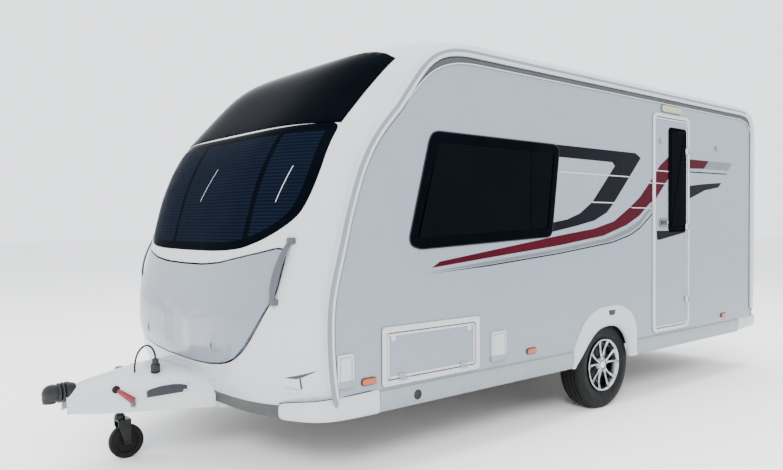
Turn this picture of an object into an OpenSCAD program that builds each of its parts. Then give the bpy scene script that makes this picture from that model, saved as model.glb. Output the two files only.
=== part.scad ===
// Touring caravan on one axle: hollow cabin with a moulded front, gas locker, side door and
// corner steadies, standing on its road wheels and jockey wheel.
// Millimetres. +X is the door side, -Y the towing end, +Z up, z = 0 the ground.
// Everything is drawn from the axle (y = 0) and moved once, so that the whole is centred.

/* [Cabin] */
// centre line to the skin of a side wall
wall_x = 1115; // [950:5:1250]
// thickness of side walls and doors
wall_t = 30; // [20:1:40]
// how far the edge trims stand proud of the side walls
trim_out = 15; // [8:1:25]
// height of the roof edge
roof_z = 2467; // [2000:5:2900]
// axle to the foremost edge of the side
front_reach = 2520; // [2000:10:3200]
// axle to the rearmost face
rear_reach = 2520; // [2000:10:3200]
// thickness of the moulded front, roof and rear panels
shell_t = 25; // [15:1:35]
// top of the cabin floor
floor_z = 482; // [440:2:560]
// thickness of the cabin floor
floor_t = 42; // [30:1:60]
// highest point of the rooflight
top_z = 2610; // [2520:5:3000]

/* [Openings] */
// gap around each opening door and lid
leaf_gap = 6; // [5:0.5:12]
// gap around the gas locker lid
lid_gap = 11; // [8:0.5:16]
// gap between panes or trims and what they sit in
seat = 0.3; // [0.1:0.1:1]
// entrance door, front edge
door_y0 = 618; // [300:5:1500]
// entrance door, width of the leaf
door_w = 512; // [450:2:700]
// entrance door, bottom of the leaf
door_z0 = 540; // [520:5:620]
// entrance door, height of the leaf
door_h = 1688; // [1400:4:1800]
// side locker door, front edge measured from the axle
hatch_y0 = -2136; // [-2300:2:-1800]
// side locker door, width of the leaf
hatch_w = 687; // [400:1:900]
// side locker door, height of the leaf
hatch_h = 248; // [150:2:400]
// side locker door, bottom of the leaf
hatch_z0 = 536; // [515:1:600]

/* [Running gear] */
// tyre diameter
tyre_d = 650; // [560:2:720]
// tyre width
tyre_w = 185; // [145:5:205]
// centre line to the middle of a tyre
tyre_x = 975; // [850:5:1000]
// rim diameter over the flanges
rim_d = 386; // [340:2:420]
// half width between the chassis members
rail_x = 620; // [500:5:720]
// depth of the chassis members
rail_h = 110; // [80:5:160]
// wall of the chassis members
rail_t = 4; // [2:0.5:6]
// running clearance of pins and bearings on the radius
run_gap = 0.1; // [0.05:0.05:0.3]

/* [Towing gear] */
// tow ball diameter
ball_d = 50; // [50:0.1:50.8]
// front edge of the side to the tip of the coupling
nose_reach = 1100; // [900:10:1400]
// height of the tow ball centre
ball_z = 430; // [380:5:460]
// jockey wheel diameter
jockey_d = 200; // [150:5:230]
// jockey wheel sideways from the centre line
jockey_x = -150; // [-180:5:-130]

/* [Corner steadies] */
// steady leg, pivot to foot
leg_l = 430; // [300:5:440]
// angle of the folded leg below the horizontal
leg_rest = 6; // [5:0.5:12]
// steady leg centre to the centre line
leg_x = 860; // [700:5:950]

/* [Hidden] */
$fn = 48;

trim_x = wall_x + trim_out;
shell_x = wall_x - wall_t;
nose_y = -(front_reach + nose_reach);
axle_y = -(nose_y + rear_reach) / 2;
floor_b = floor_z - floor_t;
tyre_r = tyre_d / 2;
rim_r = rim_d / 2;

// heights above the waist follow the roof height
function hz(z) = z < 1000 ? z : 1000 + (z - 1000) * (roof_z - 1000) / 1467;
function fy(y) = y + 2520 - front_reach;
function ry(y) = y - 2520 + rear_reach;
function rev(v) = [for (i = [len(v) - 1:-1:0]) v[i]];

// profile of the moulded shell at its side edge, from front bottom over the roof to rear bottom:
// [y, z, forward or rearward bulge at the centre line, upward bulge at the centre line]
SHELL_FRONT = [[-2462, 372, -295, 0], [-2478, 440, -312, 0], [-2494, 500, -320, 0],
    [-2506, 570, -326, 0], [-2512, 640, -330, 0], [-2517, 740, -332, 0], [-2520, 840, -333, 0],
    [-2516, 930, -333, 0], [-2507, 1010, -333, 0], [-2495, 1070, -332, 0], [-2479, 1130, -332, 0],
    [-2460, 1200, -331, 0], [-2437, 1280, -330, 0], [-2409, 1390, -329, 0], [-2379, 1510, -328, 0],
    [-2353, 1590, -327, 0], [-2322, 1670, -326, 0], [-2282, 1760, -324, 0], [-2233, 1850, -320, 0],
    [-2170, 1940, -314, 0], [-2110, 2012, -308, 0], [-2050, 2084, -300, 0], [-1990, 2155, -290, 3],
    [-1932, 2225, -276, 8], [-1876, 2290, -258, 14], [-1815, 2350, -235, 22],
    [-1745, 2400, -205, 32], [-1665, 2436, -168, 42], [-1575, 2458, -125, 51],
    [-1480, 2466, -80, 57], [-1370, 2467, -35, 60], [-1250, 2467, 0, 60]];
SHELL_REAR = [[1800, 2467, 0, 60], [2060, 2467, 0, 60], [2200, 2463, 8, 56], [2300, 2450, 16, 48],
    [2375, 2426, 24, 38], [2425, 2392, 31, 28], [2455, 2345, 36, 18], [2470, 2290, 39, 9],
    [2476, 2220, 40, 0], [2480, 2000, 40, 0], [2480, 1600, 40, 0], [2480, 1200, 40, 0],
    [2472, 900, 38, 0], [2462, 700, 35, 0], [2448, 540, 32, 0], [2432, 440, 30, 0],
    [2420, 385, 28, 0]];
SHELL = concat([for (r = SHELL_FRONT) [fy(r[0]), hz(r[1]), r[2], r[3]]],
    [for (r = SHELL_REAR) [ry(r[0]), hz(r[1]), r[2], r[3]]]);
I_SKIRT = 1;
I_ROOF = len(SHELL_FRONT) - 1;
I_REAR = len(SHELL_FRONT) + 2;
I_END = len(SHELL) - 2;

// edge of the side wall, and the line where the edge trim starts above it
WALL_EDGE = [[fy(-2458), floor_b], [fy(-2469), 500], [fy(-2485), 620], [fy(-2493), 740],
    [fy(-2495), 840], [fy(-2492), 930], [fy(-2483), hz(1010)], [fy(-2454), hz(1125)],
    [fy(-2412), hz(1280)], [fy(-2382), hz(1400)], [fy(-2348), hz(1510)], [fy(-2300), hz(1650)],
    [fy(-2235), hz(1780)], [fy(-2172), hz(1870)], [fy(-2100), hz(1950)], [fy(-2040), hz(2010)],
    [fy(-1920), hz(2137)], [fy(-1862), hz(2200)], [fy(-1800), hz(2250)], [fy(-1722), hz(2292)],
    [fy(-1650), hz(2316)], [fy(-1570), hz(2331)], [fy(-1480), hz(2338)], [ry(2140), hz(2338)],
    [ry(2220), hz(2330)], [ry(2285), hz(2305)], [ry(2322), hz(2265)], [ry(2336), hz(2210)],
    [ry(2336), floor_b]];
TRIM_EDGE = [[fy(-2458), floor_b], [fy(-2469), 500], [fy(-2485), 620], [fy(-2493), 740],
    [fy(-2495), 840], [fy(-2492), 930], [fy(-2483), hz(1010)], [fy(-2454), hz(1125)],
    [fy(-2412), hz(1280)], [fy(-2382), hz(1400)], [fy(-2348), hz(1510)], [fy(-2300), hz(1650)],
    [fy(-2235), hz(1780)], [fy(-2172), hz(1870)], [fy(-2100), hz(1950)], [fy(-2040), hz(2010)],
    [fy(-1950), hz(2130)], [fy(-1884), hz(2215)], [fy(-1824), hz(2282)], [fy(-1750), hz(2336)],
    [fy(-1670), hz(2366)], [fy(-1590), hz(2381)], [fy(-1500), hz(2387)], [ry(2150), hz(2387)],
    [ry(2235), hz(2379)], [ry(2300), hz(2352)], [ry(2330), hz(2310)], [ry(2336), hz(2250)],
    [ry(2336), floor_b]];

// half outlines seen from the front: [x, z], bottom centre first, going round by the door side
WINDOW_HALF = [[0, 1234], [330, 1236], [500, 1243], [640, 1258], [780, 1307], [870, 1368],
    [918, 1420], [942, 1470], [960, 1560], [966, 1680], [960, 1800], [955, 1940]];
BAND_HALF = [[0, 1944], [955, 1944], [957, 2130], [966, 2316], [970, 2700], [0, 2700]];
LID_HALF = [[0, 600], [200, 602], [400, 614], [570, 640], [660, 672], [740, 735], [810, 836],
    [865, 950], [893, 1010], [903, 1060], [905, 1215], [900, 1240], [885, 1252], [860, 1254],
    [790, 1234], [640, 1203], [450, 1168], [250, 1152], [0, 1149]];
// rear edge of the sky window
sky_y = fy(-1935);
function both(h) = concat([for (p = h) [p[0], hz(p[1])]], [for (p = rev(h)) if (p[0] > 0) [-p[0], hz(p[1])]]);

// side windows: [side, y0, y1 at the top, z0, z1, slope of the front edge]
NEAR_WINDOW = [[-1971, 1300], [-1955, 1262], [-1890, 1243], [-735, 1294], [-705, 1310], [-695, 1345],
    [-622, 1868], [-632, 1895], [-668, 1914], [-1756, 1916], [-1796, 1900], [-1818, 1860]];
// [y0, y1, z0, z1] of the far side's windows
FAR_WINDOWS = [[-1800, -640, 1290, 1900], [60, 900, 1420, 1900], [1650, 2050, 1420, 1900]];

// gas locker lid hinge line
lid_hy = fy(-2650);
lid_hz = hz(1322);
lid_arm_x = 500;
lid_pad = 105;
lid_arm_r = norm([lid_pad, lid_hz - hz(1150)]) + 7.5;
lid_arm_a = atan2(lid_pad, lid_hz - hz(1150)) + 2.6;
lid_skin = 5;

module at_axle() translate([0, axle_y, 0]) children();
module both_sides() { children(); mirror([1, 0, 0]) children(); }
module rod(a, b, r) {
    v = b - a;
    l = norm(v);
    translate(a) rotate([0, acos(v[2] / l), atan2(v[1], v[0])]) cylinder(r = r, h = l);
}
module across(x0, x1, y, z, r) translate([x0, y, z]) rotate([0, 90, 0]) cylinder(r = r, h = x1 - x0);
module slab(x0, x1, y0, y1, z0, z1) translate([x0, y0, z0]) cube([x1 - x0, y1 - y0, z1 - z0]);
// plate lying along the side, from [y, z] points
module side_plate(pts, x0, x1) translate([x0, 0, 0]) rotate([90, 0, 90]) linear_extrude(x1 - x0) polygon(pts);
// rounded rectangle on a side: centre built from plain shapes
module side_round(x0, x1, y0, y1, z0, z1, r) {
    slab(x0, x1, y0 + r, y1 - r, z0, z1);
    slab(x0, x1, y0, y1, z0 + r, z1 - r);
    for (y = [y0 + r, y1 - r], z = [z0 + r, z1 - r]) across(x0, x1, y, z, r);
}
module front_prism(half, grow = 0) translate([0, fy(-1600), 0]) rotate([90, 0, 0])
    linear_extrude(1500) offset(delta = grow) polygon(both(half));

// moulded sheet between two depths below the skin
cols = 28;
p_round = 5;
function shell_u(j) = sin(90 * (2 * j / cols - 1));
function shell_n(i) = let (a = SHELL[max(i - 1, 0)], b = SHELL[min(i + 1, len(SHELL) - 1)],
    ty = b[0] - a[0], tz = b[1] - a[1], l = sqrt(ty * ty + tz * tz)) [-tz / l, ty / l];
function shell_pt(i, j, t) = let (u = shell_u(j), s = 1 - pow(abs(u), p_round), r = SHELL[i], n = shell_n(i))
    [u * shell_x, r[0] + r[2] * s - n[0] * t, r[1] + r[3] * s - n[1] * t];
function skin_y(x, z) = lookup(z, [for (i = [0:I_ROOF]) [SHELL[i][1] + i / 1000, SHELL[i][0]]])
    + lookup(z, [for (i = [0:I_ROOF]) [SHELL[i][1] + i / 1000, SHELL[i][2]]]) * (1 - pow(abs(x) / shell_x, p_round));
module sheet(i0, i1, t0, t1) {
    m = i1 - i0 + 1;
    w = cols + 1;
    pts = [for (t = [t0, t1], i = [i0:i1], j = [0:cols]) shell_pt(i, j, t)];
    o = m * w;
    skin = [for (i = [0:m - 2], j = [0:cols - 1]) let (a = i * w + j) each
        [[a, a + w, a + 1], [a + 1, a + w, a + w + 1]]];
    back = [for (i = [0:m - 2], j = [0:cols - 1]) let (a = o + i * w + j) each
        [[a, a + 1, a + w], [a + 1, a + w + 1, a + w]]];
    ends = [for (j = [0:cols - 1]) let (b = (m - 1) * w + j) each
        [[j, j + 1, o + j], [j + 1, o + j + 1, o + j], [b, o + b, b + 1], [b + 1, o + b, o + b + 1]]];
    sides = [for (i = [0:m - 2]) let (a = i * w, b = i * w + cols) each
        [[a, o + a, a + w], [a + w, o + a, o + a + w], [b, b + w, o + b], [b + w, o + b + w, o + b]]];
    polyhedron(points = pts, faces = concat(skin, back, ends, sides), convexity = 8);
}
// a moulded piece is one skin, sized to the width it spans
module moulded(width) resize([width, 0, 0]) children();

module chassis_frame() color("silver") at_axle() {
    z0 = floor_b - rail_h;
    y0 = fy(-2200);
    y1 = ry(2330);
    tip_y = nose_y + 370;
    a = atan2(rail_x - 30, y0 - tip_y);
    l = norm([rail_x - 30, y0 - tip_y]);
    difference() {
        union() {
            both_sides() {
                slab(rail_x - rail_t, rail_x, y0, y1, z0, floor_b);
                slab(rail_x - 55, rail_x, y0, y1, floor_b - rail_t, floor_b);
                slab(rail_x - 55, rail_x, y0, y1, z0, z0 + rail_t);
                translate([30, tip_y, 0]) rotate([0, 0, -a]) {
                    slab(-rail_t, 0, 0, l, z0, floor_b);
                    slab(-50, 0, 0, l, floor_b - rail_t, floor_b);
                    slab(-50, 0, 0, l, z0, z0 + rail_t);
                }
            }
            for (y = [fy(-2200), -520, 620, ry(2290)])
                slab(-rail_x + 1, rail_x - 1, y, y + rail_t, z0, floor_b);
            slab(-58, 58, tip_y - 10, tip_y + 60, z0 + 20, z0 + 28);
        }
        across(-rail_x - 5, rail_x + 5, -150, 346, 46);
    }
}

module axle() color("dimgray") at_axle() {
    difference() {
        across(-760, 760, -150, 346, 45);
        across(-761, 761, -150, 346, 38);
    }
    both_sides() {
        slab(rail_x + seat, rail_x + 8, -230, -60, 300, floor_b - 8);
        difference() {
            union() {
                across(700, 740, -150, 346, 50);
                across(700, 740, 0, tyre_r, 38);
                side_plate([[-150, 396], [0, tyre_r + 38], [0, tyre_r - 38], [-150, 296]], 700, 740);
            }
            across(690, 750, -150, 346, 44);
        }
        across(739, 792, 0, tyre_r, 34);
        across(792, 798, 0, tyre_r, 106);
        across(790, tyre_x + 40, 0, tyre_r, 20);
    }
}

module coupling_head() color("dimgray") at_axle() {
    by = nose_y + 52;
    difference() {
        union() {
            translate([0, by, ball_z - 28]) cylinder(r = 42, h = 62);
            slab(-34, 34, by, by + 150, ball_z - 18, ball_z + 34);
            slab(-22, 22, nose_y, by + 40, ball_z + 30, ball_z + 60);
            slab(-16, 16, by + 20, by + 150, ball_z + 50, ball_z + 68);
        }
        translate([0, by, ball_z - 30]) cylinder(r = ball_d / 2 + 0.3, h = 45);
    }
    translate([0, by + 140, ball_z + 8]) rotate([-90, 0, 0]) cylinder(r = 25, h = 160);
    slab(-52, 52, nose_y + 300, nose_y + 560, floor_b + seat, floor_b + 62);
    slab(-40, 40, nose_y + 290, nose_y + 350, ball_z - 25, floor_b + 62);
}

// outline rows of the fairing: [y, half width, bottom, top, corner radius]
COVER = [[nose_y + 130, 62, 372, 484, 34], [nose_y + 170, 78, 366, 502, 42],
    [nose_y + 260, 120, 360, 526, 54], [nose_y + 400, 180, 356, 547, 66],
    [nose_y + 560, 250, 354, 558, 78], [nose_y + 700, 312, 354, 562, 90], [nose_y + 830, 362, 354, 560, 100]];
function cover_row(r, t) = let (w = r[1] - t, z1 = r[3] - t, c = r[4] - t / 2)
    [for (s = [-1, 1]) each [for (k = (s < 0 ? [0:1:7] : [7:-1:0])) let (a = k * 90 / 7)
        [s * (w - c + c * cos(a)) - (k == 0 ? 0 : 0), r[0], z1 - c + c * sin(a)]]];
module cover_solid(t) {
    rows = [for (i = [0:len(COVER) - 1]) let (r = COVER[i], y = r[0] + (i == 0 ? t : (i == len(COVER) - 1 && t > 0 ? 5 : 0)))
        concat([[-r[1] + t, y, r[2] - (t > 0 ? 5 : 0)]], [for (p = cover_row(r, t)) [p[0], y, p[2]]],
            [[r[1] - t, y, r[2] - (t > 0 ? 5 : 0)]])];
    n = len(rows[0]);
    m = len(rows);
    faces = concat([[for (j = [0:n - 1]) j]], [[for (j = [n - 1:-1:0]) (m - 1) * n + j]],
        [for (i = [0:m - 2], j = [0:n - 1]) let (a = i * n + j, b = i * n + (j + 1) % n) each
            [[a, a + n, b], [b, a + n, b + n]]]);
    polyhedron(points = [for (r = rows) each r], faces = faces, convexity = 4);
}
module a_frame_cover() color("whitesmoke") at_axle() moulded(2 * 362) difference() {
    cover_solid(0);
    cover_solid(4);
    translate([jockey_x, jy, 300]) cylinder(r = 32, h = 400);
    translate([94, nose_y + 476, 500]) cylinder(r = 9, h = 200);
    slab(-46, 46, nose_y, nose_y + 180, 300, ball_z + 80);
    sheet(0, 10, -1, 400);
}

module handbrake_lever() color("firebrick") at_axle() {
    rod([165, nose_y + 350, 486], [188, nose_y + 350, 486], 15);
    rod([182, nose_y + 350, 486], [206, nose_y + 420, 425], 9);
    rod([206, nose_y + 420, 425], [211, nose_y + 436, 412], 11);
}

plug_x = 165;
plug_y = nose_y + 568;
plug_z = 559.6;
jy = nose_y + 470;
clamp_top = 518;
module tow_plug() color("black") at_axle() {
    translate([plug_x, plug_y, plug_z]) cylinder(r = 26, h = 39);
    translate([plug_x, plug_y, plug_z + 35]) cylinder(r = 18, h = 34);
    slab(plug_x + 18, plug_x + 36, plug_y - 13, plug_y + 13, plug_z + 5, plug_z + 33);
}
// route of the lead from its plug over and down behind the fairing
LEAD = [[165, 568, 629], [164, 566, 652], [160, 558, 678], [152, 546, 697], [140, 530, 704],
    [126, 514, 697], [112, 498, 677], [102, 486, 648], [96, 479, 614], [94, 476, 578], [94, 476, 540], [94, 478, 505]];
lead_r = 5.5;
module tube(path, r, n = 8) {
    m = len(path);
    rings = [for (i = [0:m - 1]) let (a = path[max(i - 1, 0)], b = path[min(i + 1, m - 1)], d = (b - a) / norm(b - a),
        s = cross(d, [0.6, 0.8, 0]) / norm(cross(d, [0.6, 0.8, 0])), u = cross(s, d))
        [for (k = [0:n - 1]) path[i] + r * (cos(k * 360 / n) * s + sin(k * 360 / n) * u)]];
    faces = concat([[for (k = [n - 1:-1:0]) k]], [[for (k = [0:n - 1]) (m - 1) * n + k]],
        [for (i = [0:m - 2], k = [0:n - 1]) let (a = i * n + k, b = i * n + (k + 1) % n) each
            [[a, b, a + n], [b, b + n, a + n]]]);
    polyhedron(points = [for (q = rings) each q], faces = faces, convexity = 6);
}
// points between the route points, so that the lead bends evenly
function eased(v) = [for (i = [0:len(v) - 2]) each let (p0 = v[max(i - 1, 0)], p1 = v[i], p2 = v[i + 1],
    p3 = v[min(i + 2, len(v) - 1)]) [for (k = [0:1]) let (t = k / 2)
        0.5 * (2 * p1 + (p2 - p0) * t + (2 * p0 - 5 * p1 + 4 * p2 - p3) * t * t + (3 * p1 - p0 - 3 * p2 + p3) * t * t * t)]];
module tow_lead() color("black") at_axle()
    tube([for (p = concat(eased(LEAD), [LEAD[len(LEAD) - 1]])) [p[0], nose_y + p[1], p[2]]], lead_r);

module jockey_clamp() color("silver") at_axle() {
    difference() {
        translate([jockey_x, jy, 370]) cylinder(r = 24, h = clamp_top - 370);
        translate([jockey_x, jy, 369]) cylinder(r = 20, h = clamp_top - 375);
    }
    difference() {
        union() {
            translate([jockey_x, jy, 375]) cylinder(r = 31, h = 55);
            slab(jockey_x, jockey_x + 49.5, jy - 24, jy + 24, 380, 425);
        }
        translate([jockey_x, jy, 374]) cylinder(r = 24 + seat, h = 57);
    }
    translate([jockey_x, jy, clamp_top]) cylinder(r = 30, h = 18);
    translate([jockey_x, jy, clamp_top + 17]) cylinder(r = 22, h = 13);
}

module jockey_mast() color("silver") at_axle() {
    translate([jockey_x, jy, 262]) cylinder(r = 20 - run_gap, h = clamp_top - 358);
    translate([jockey_x, jy, 250]) cylinder(r = 30, h = 12.5);
}

jock_trail = 36;
jock_r = jockey_d / 2;
module jockey_fork() color("gray") at_axle() {
    translate([jockey_x, jy, 236]) cylinder(r = 30, h = 13.8);
    slab(jockey_x - 41, jockey_x + 41, jy - 22, jy + jock_trail + 18, 228, 236.5);
    for (s = [-1, 1]) translate([jockey_x + s * 38, 0, 0])
        side_plate([[jy - 20, 232], [jy + jock_trail + 18, 232], [jy + jock_trail + 16, jock_r - 14],
            [jy + jock_trail - 16, jock_r - 14], [jy - 20, 200]], -3, 3);
    across(jockey_x - 46, jockey_x + 46, jy + jock_trail, jock_r, 9);
}

module jockey_wheel() color("dimgray") at_axle() translate([jockey_x, jy + jock_trail, jock_r]) rotate([0, 90, 0])
    rotate_extrude($fn = 64) polygon([[9 + run_gap, -26], [26, -26], [28, -14], [62, -14], [66, -24],
        [jock_r - 8, -25], [jock_r - 2, -19], [jock_r, -8], [jock_r, 8], [jock_r - 2, 19], [jock_r - 8, 25],
        [66, 24], [62, 14], [28, 14], [26, 26], [9 + run_gap, 26]]);

// corner steadies: [pivot y, +1 when the foot points forward]
leg_z = floor_b - 22;
front_leg_y = fy(-1640);
rear_leg_y = ry(1660);
strut_l = 200;
leg_c = cos(leg_rest);
leg_s = sin(leg_rest);
module steady_bases() color("silver") at_axle() both_sides() for (q = [[front_leg_y, -1], [rear_leg_y, 1]]) {
    ya = q[0];
    s = q[1];
    yb = ya + s * 500;
    slab(leg_x - 45, leg_x + 45, min(ya - s * 30, yb), max(ya - s * 30, yb), floor_b - 4 - seat, floor_b - seat);
    for (e = [-1, 1]) slab(leg_x + e * 27 - 3, leg_x + e * 27 + 3, ya - 20, ya + 20, leg_z - 14, floor_b - 4);
    across(leg_x - 30, leg_x + 30, ya, leg_z, 6);
    slab(leg_x - 20, leg_x + 20, yb - 6, yb + 6, leg_z - 16, floor_b - 4);
    rod([leg_x, ya + s * 22, leg_z], [leg_x, yb + s * 14, leg_z], 8);
}
module leg_shape(s) {
    d = [0, s * leg_c, -leg_s];
    for (e = [-1, 1]) difference() {
        union() {
            translate([leg_x + e * 17.5, 0, 0]) rotate([s > 0 ? -leg_rest : leg_rest, 0, 0])
                translate([-2.5, s > 0 ? 0 : -leg_l, -14]) cube([5, leg_l, 24]);
            across(leg_x + e * 17.5 - 2.5, leg_x + e * 17.5 + 2.5, 0, 0, 13);
        }
        across(leg_x - 40, leg_x + 40, 0, 0, 6 + run_gap);
        across(leg_x - 40, leg_x + 40, d[1] * strut_l, d[2] * strut_l, 5 + run_gap);
    }
    translate([leg_x, 0, 0]) rotate([s > 0 ? -leg_rest : leg_rest, 0, 0])
        translate([-20, s > 0 ? 60 : -leg_l, -18]) cube([40, leg_l - 60, 4.5]);
    across(leg_x - 36, leg_x + 36, d[1] * leg_l, d[2] * leg_l, 18);
}
module strut_shape(s) {
    by = s * leg_c * strut_l;
    bz = -leg_s * strut_l;
    cy = 2 * by;
    for (e = [-1, 1]) {
        translate([leg_x + e * 28.5, by, bz]) rotate([s > 0 ? leg_rest : -leg_rest, 0, 0])
            translate([-2.5, s > 0 ? 0 : -strut_l, -9]) cube([5, strut_l, 18]);
        across(leg_x + e * 28.5 - 2.5, leg_x + e * 28.5 + 2.5, by, bz, 11);
        across(leg_x + e * 28.5 - 2.5, leg_x + e * 28.5 + 2.5, cy, 0, 11);
        across(e > 0 ? leg_x + 15 : leg_x - 29, e > 0 ? leg_x + 29 : leg_x - 15, cy, 0, 6);
    }
    across(leg_x - 31, leg_x + 31, by, bz, 5);
}
module steady_leg(side, ya, s) color("gray") at_axle() translate([0, ya, leg_z])
    mirror([side > 0 ? 0 : 1, 0, 0]) leg_shape(s);
module steady_strut(side, ya, s) color("silver") at_axle() translate([0, ya, leg_z])
    mirror([side > 0 ? 0 : 1, 0, 0]) strut_shape(s);
module steady_leg_fl() steady_leg(-1, front_leg_y, -1);
module steady_leg_fr() steady_leg(1, front_leg_y, -1);
module steady_leg_rl() steady_leg(-1, rear_leg_y, 1);
module steady_leg_rr() steady_leg(1, rear_leg_y, 1);
module steady_strut_fl() steady_strut(-1, front_leg_y, -1);
module steady_strut_fr() steady_strut(1, front_leg_y, -1);
module steady_strut_rl() steady_strut(-1, rear_leg_y, 1);
module steady_strut_rr() steady_strut(1, rear_leg_y, 1);

box_r = tyre_r + 38;
floor_x = shell_x - seat;
module floor_panel() color("burlywood") at_axle() difference() {
    translate([0, 0, floor_b]) linear_extrude(floor_t)
        polygon(concat([for (j = [0:cols]) let (u = shell_u(j)) [u * floor_x,
            fy(-2445) - 312 * (1 - pow(abs(u), p_round)) + 2]], [[floor_x, ry(2400)], [-floor_x, ry(2400)]]));
    both_sides() slab(tyre_x - tyre_w / 2 - 35 - seat, shell_x + 1, -box_r, box_r, floor_b - 1, floor_z + 1);
}

module wheel_boxes() color("dimgray") at_axle() both_sides() difference() {
    intersection() {
        across(tyre_x - tyre_w / 2 - 35, shell_x - seat, 0, tyre_r, box_r - seat);
        slab(0, shell_x, -box_r, box_r, floor_b, 1000);
    }
    across(tyre_x - tyre_w / 2 - 30, shell_x + 1, 0, tyre_r, box_r - 5);
}

ARCH_IN = [[-430, 366], [-418, 376], [-365, 414], [-312, 462], [-258, 516], [-203, 560], [-148, 592], [-91, 612],
    [-22, 621], [47, 618], [98, 608], [143, 587], [190, 550], [228, 503], [252, 448], [266, 392], [268, 366]];
ARCH_CUT = [[-446, 400], [-436, 470], [-400, 540], [-320, 642], [-262, 690], [-200, 722], [-125, 742], [-46, 750], [60, 750],
    [125, 744], [185, 727], [268, 682], [312, 630], [330, 560], [336, 480], [336, 400]];
ARCH_OUT = [[-470, 366], [-466, 430], [-452, 480], [-418, 546], [-334, 660], [-272, 708], [-204, 742], [-128, 762],
    [-46, 770], [60, 770], [130, 764], [195, 746], [282, 700], [330, 642], [350, 566], [358, 490], [360, 366]];
module side_wall() difference() {
    side_plate(WALL_EDGE, shell_x, wall_x);
    side_plate(ARCH_CUT, shell_x - 1, wall_x + 1);
}
module left_wall() color("lightsteelblue") at_axle() mirror([1, 0, 0]) difference() {
    side_wall();
    for (w = FAR_WINDOWS) side_round(shell_x - 1, wall_x + 1, w[0], w[1], hz(w[2]), hz(w[3]), 60);
    slab(shell_x - 1, wall_x + 1, 1030, 1370, 560, 830);
}
module right_wall() color("lightsteelblue") at_axle() difference() {
    side_wall();
    side_plate([for (p = NEAR_WINDOW) [fy(p[0]), hz(p[1])]], shell_x - 1, wall_x + 1);
    slab(shell_x - 1, wall_x + 1, door_y0 - leaf_gap, door_y0 + door_w + leaf_gap, door_z0 - leaf_gap,
        hz(door_z0 + door_h) + leaf_gap);
    slab(shell_x - 1, wall_x + 1, fy(hatch_y0) - leaf_gap, fy(hatch_y0) + hatch_w + leaf_gap,
        hatch_z0 - leaf_gap, hatch_z0 + hatch_h + leaf_gap);
}

module front_panel() color("white") at_axle() moulded(2 * shell_x) difference() {
    sheet(I_SKIRT, I_ROOF, 0, shell_t);
    front_prism(LID_HALF, lid_gap);
    front_prism(WINDOW_HALF, seat);
    intersection() {
        front_prism(BAND_HALF, seat + 4);
        slab(-1200, 1200, fy(-3500), sky_y, 1900, 3000);
    }
    slab(-640, 640, fy(-3500), fy(-2400), 300, floor_b + seat);
}
module front_window() color("black", 0.6) at_axle() moulded(2 * 966) intersection() {
    sheet(11, 21, 0, 8);
    front_prism(WINDOW_HALF);
}
module sky_window() color("black", 0.6) at_axle() moulded(2 * 970) intersection() {
    sheet(18, I_ROOF, -10, 8);
    front_prism(BAND_HALF);
    slab(-1200, 1200, fy(-3500), sky_y - seat, 1900, 3000);
}
module window_blinds() color("gainsboro") at_axle() {
    moulded(2 * 975) intersection() {
        sheet(11, 21, shell_t + seat, shell_t + 4);
        front_prism([[0, 1222], [900, 1222], [975, 1500], [975, 1960], [0, 1960]]);
    }
    side_plate([for (p = [[-1985, 1232], [-685, 1285], [-610, 1930], [-1790, 1930]]) [fy(p[0]), hz(p[1])]],
        shell_x - 5, shell_x - seat);
    for (w = FAR_WINDOWS) slab(-shell_x + seat, -shell_x + 5, w[0] - 12, w[1] + 12, hz(w[2]) - 12, hz(w[3]) + 12);
}

module roof_panel() color("white") at_axle() moulded(2 * shell_x) difference() {
    sheet(I_ROOF, I_REAR, 0, shell_t);
    slab(-243 - seat, 243 + seat, -643 - seat, -157 + seat, roof_z - 70, roof_z + 240);
}
module rooflight() color("gray", 0.6) at_axle() {
    difference() {
        slab(-243, 243, -643, -157, roof_z + 20, roof_z + 100);
        slab(-215, 215, -615, -185, roof_z + 10, roof_z + 92);
    }
    for (s = [[280, roof_z + 120], [220, top_z]]) translate([-s[0], -400 - s[0], roof_z + 100])
        cube([2 * s[0], 2 * s[0], s[1] - roof_z - 100]);
}

module rear_panel() color("white") at_axle() moulded(2 * shell_x) difference() {
    sheet(I_REAR, I_END, 0, shell_t);
    translate([0, ry(2600), 0]) rotate([90, 0, 0]) linear_extrude(300) offset(r = 50)
        polygon([[-420, hz(1450)], [420, hz(1450)], [420, hz(1850)], [-420, hz(1850)]]);
}
module rear_bumper() color("gainsboro") at_axle() moulded(2 * shell_x) intersection() {
    union() {
        sheet(I_END - 2, I_END + 1, -16, -2 * seat);
        intersection() {
            sheet(I_END, I_END + 1, -1, shell_t);
            slab(-1200, 1200, 0, 4000, 385, 438);
        }
    }
    slab(-1200, 1200, 0, 4000, 385, 585);
}
module tail_lights() color("firebrick") at_axle() moulded(2 * 1000) intersection() {
    sheet(I_END - 4, I_END - 1, -14, -seat);
    both_sides() slab(700, 1000, 0, 4000, 610, 720);
}

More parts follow.
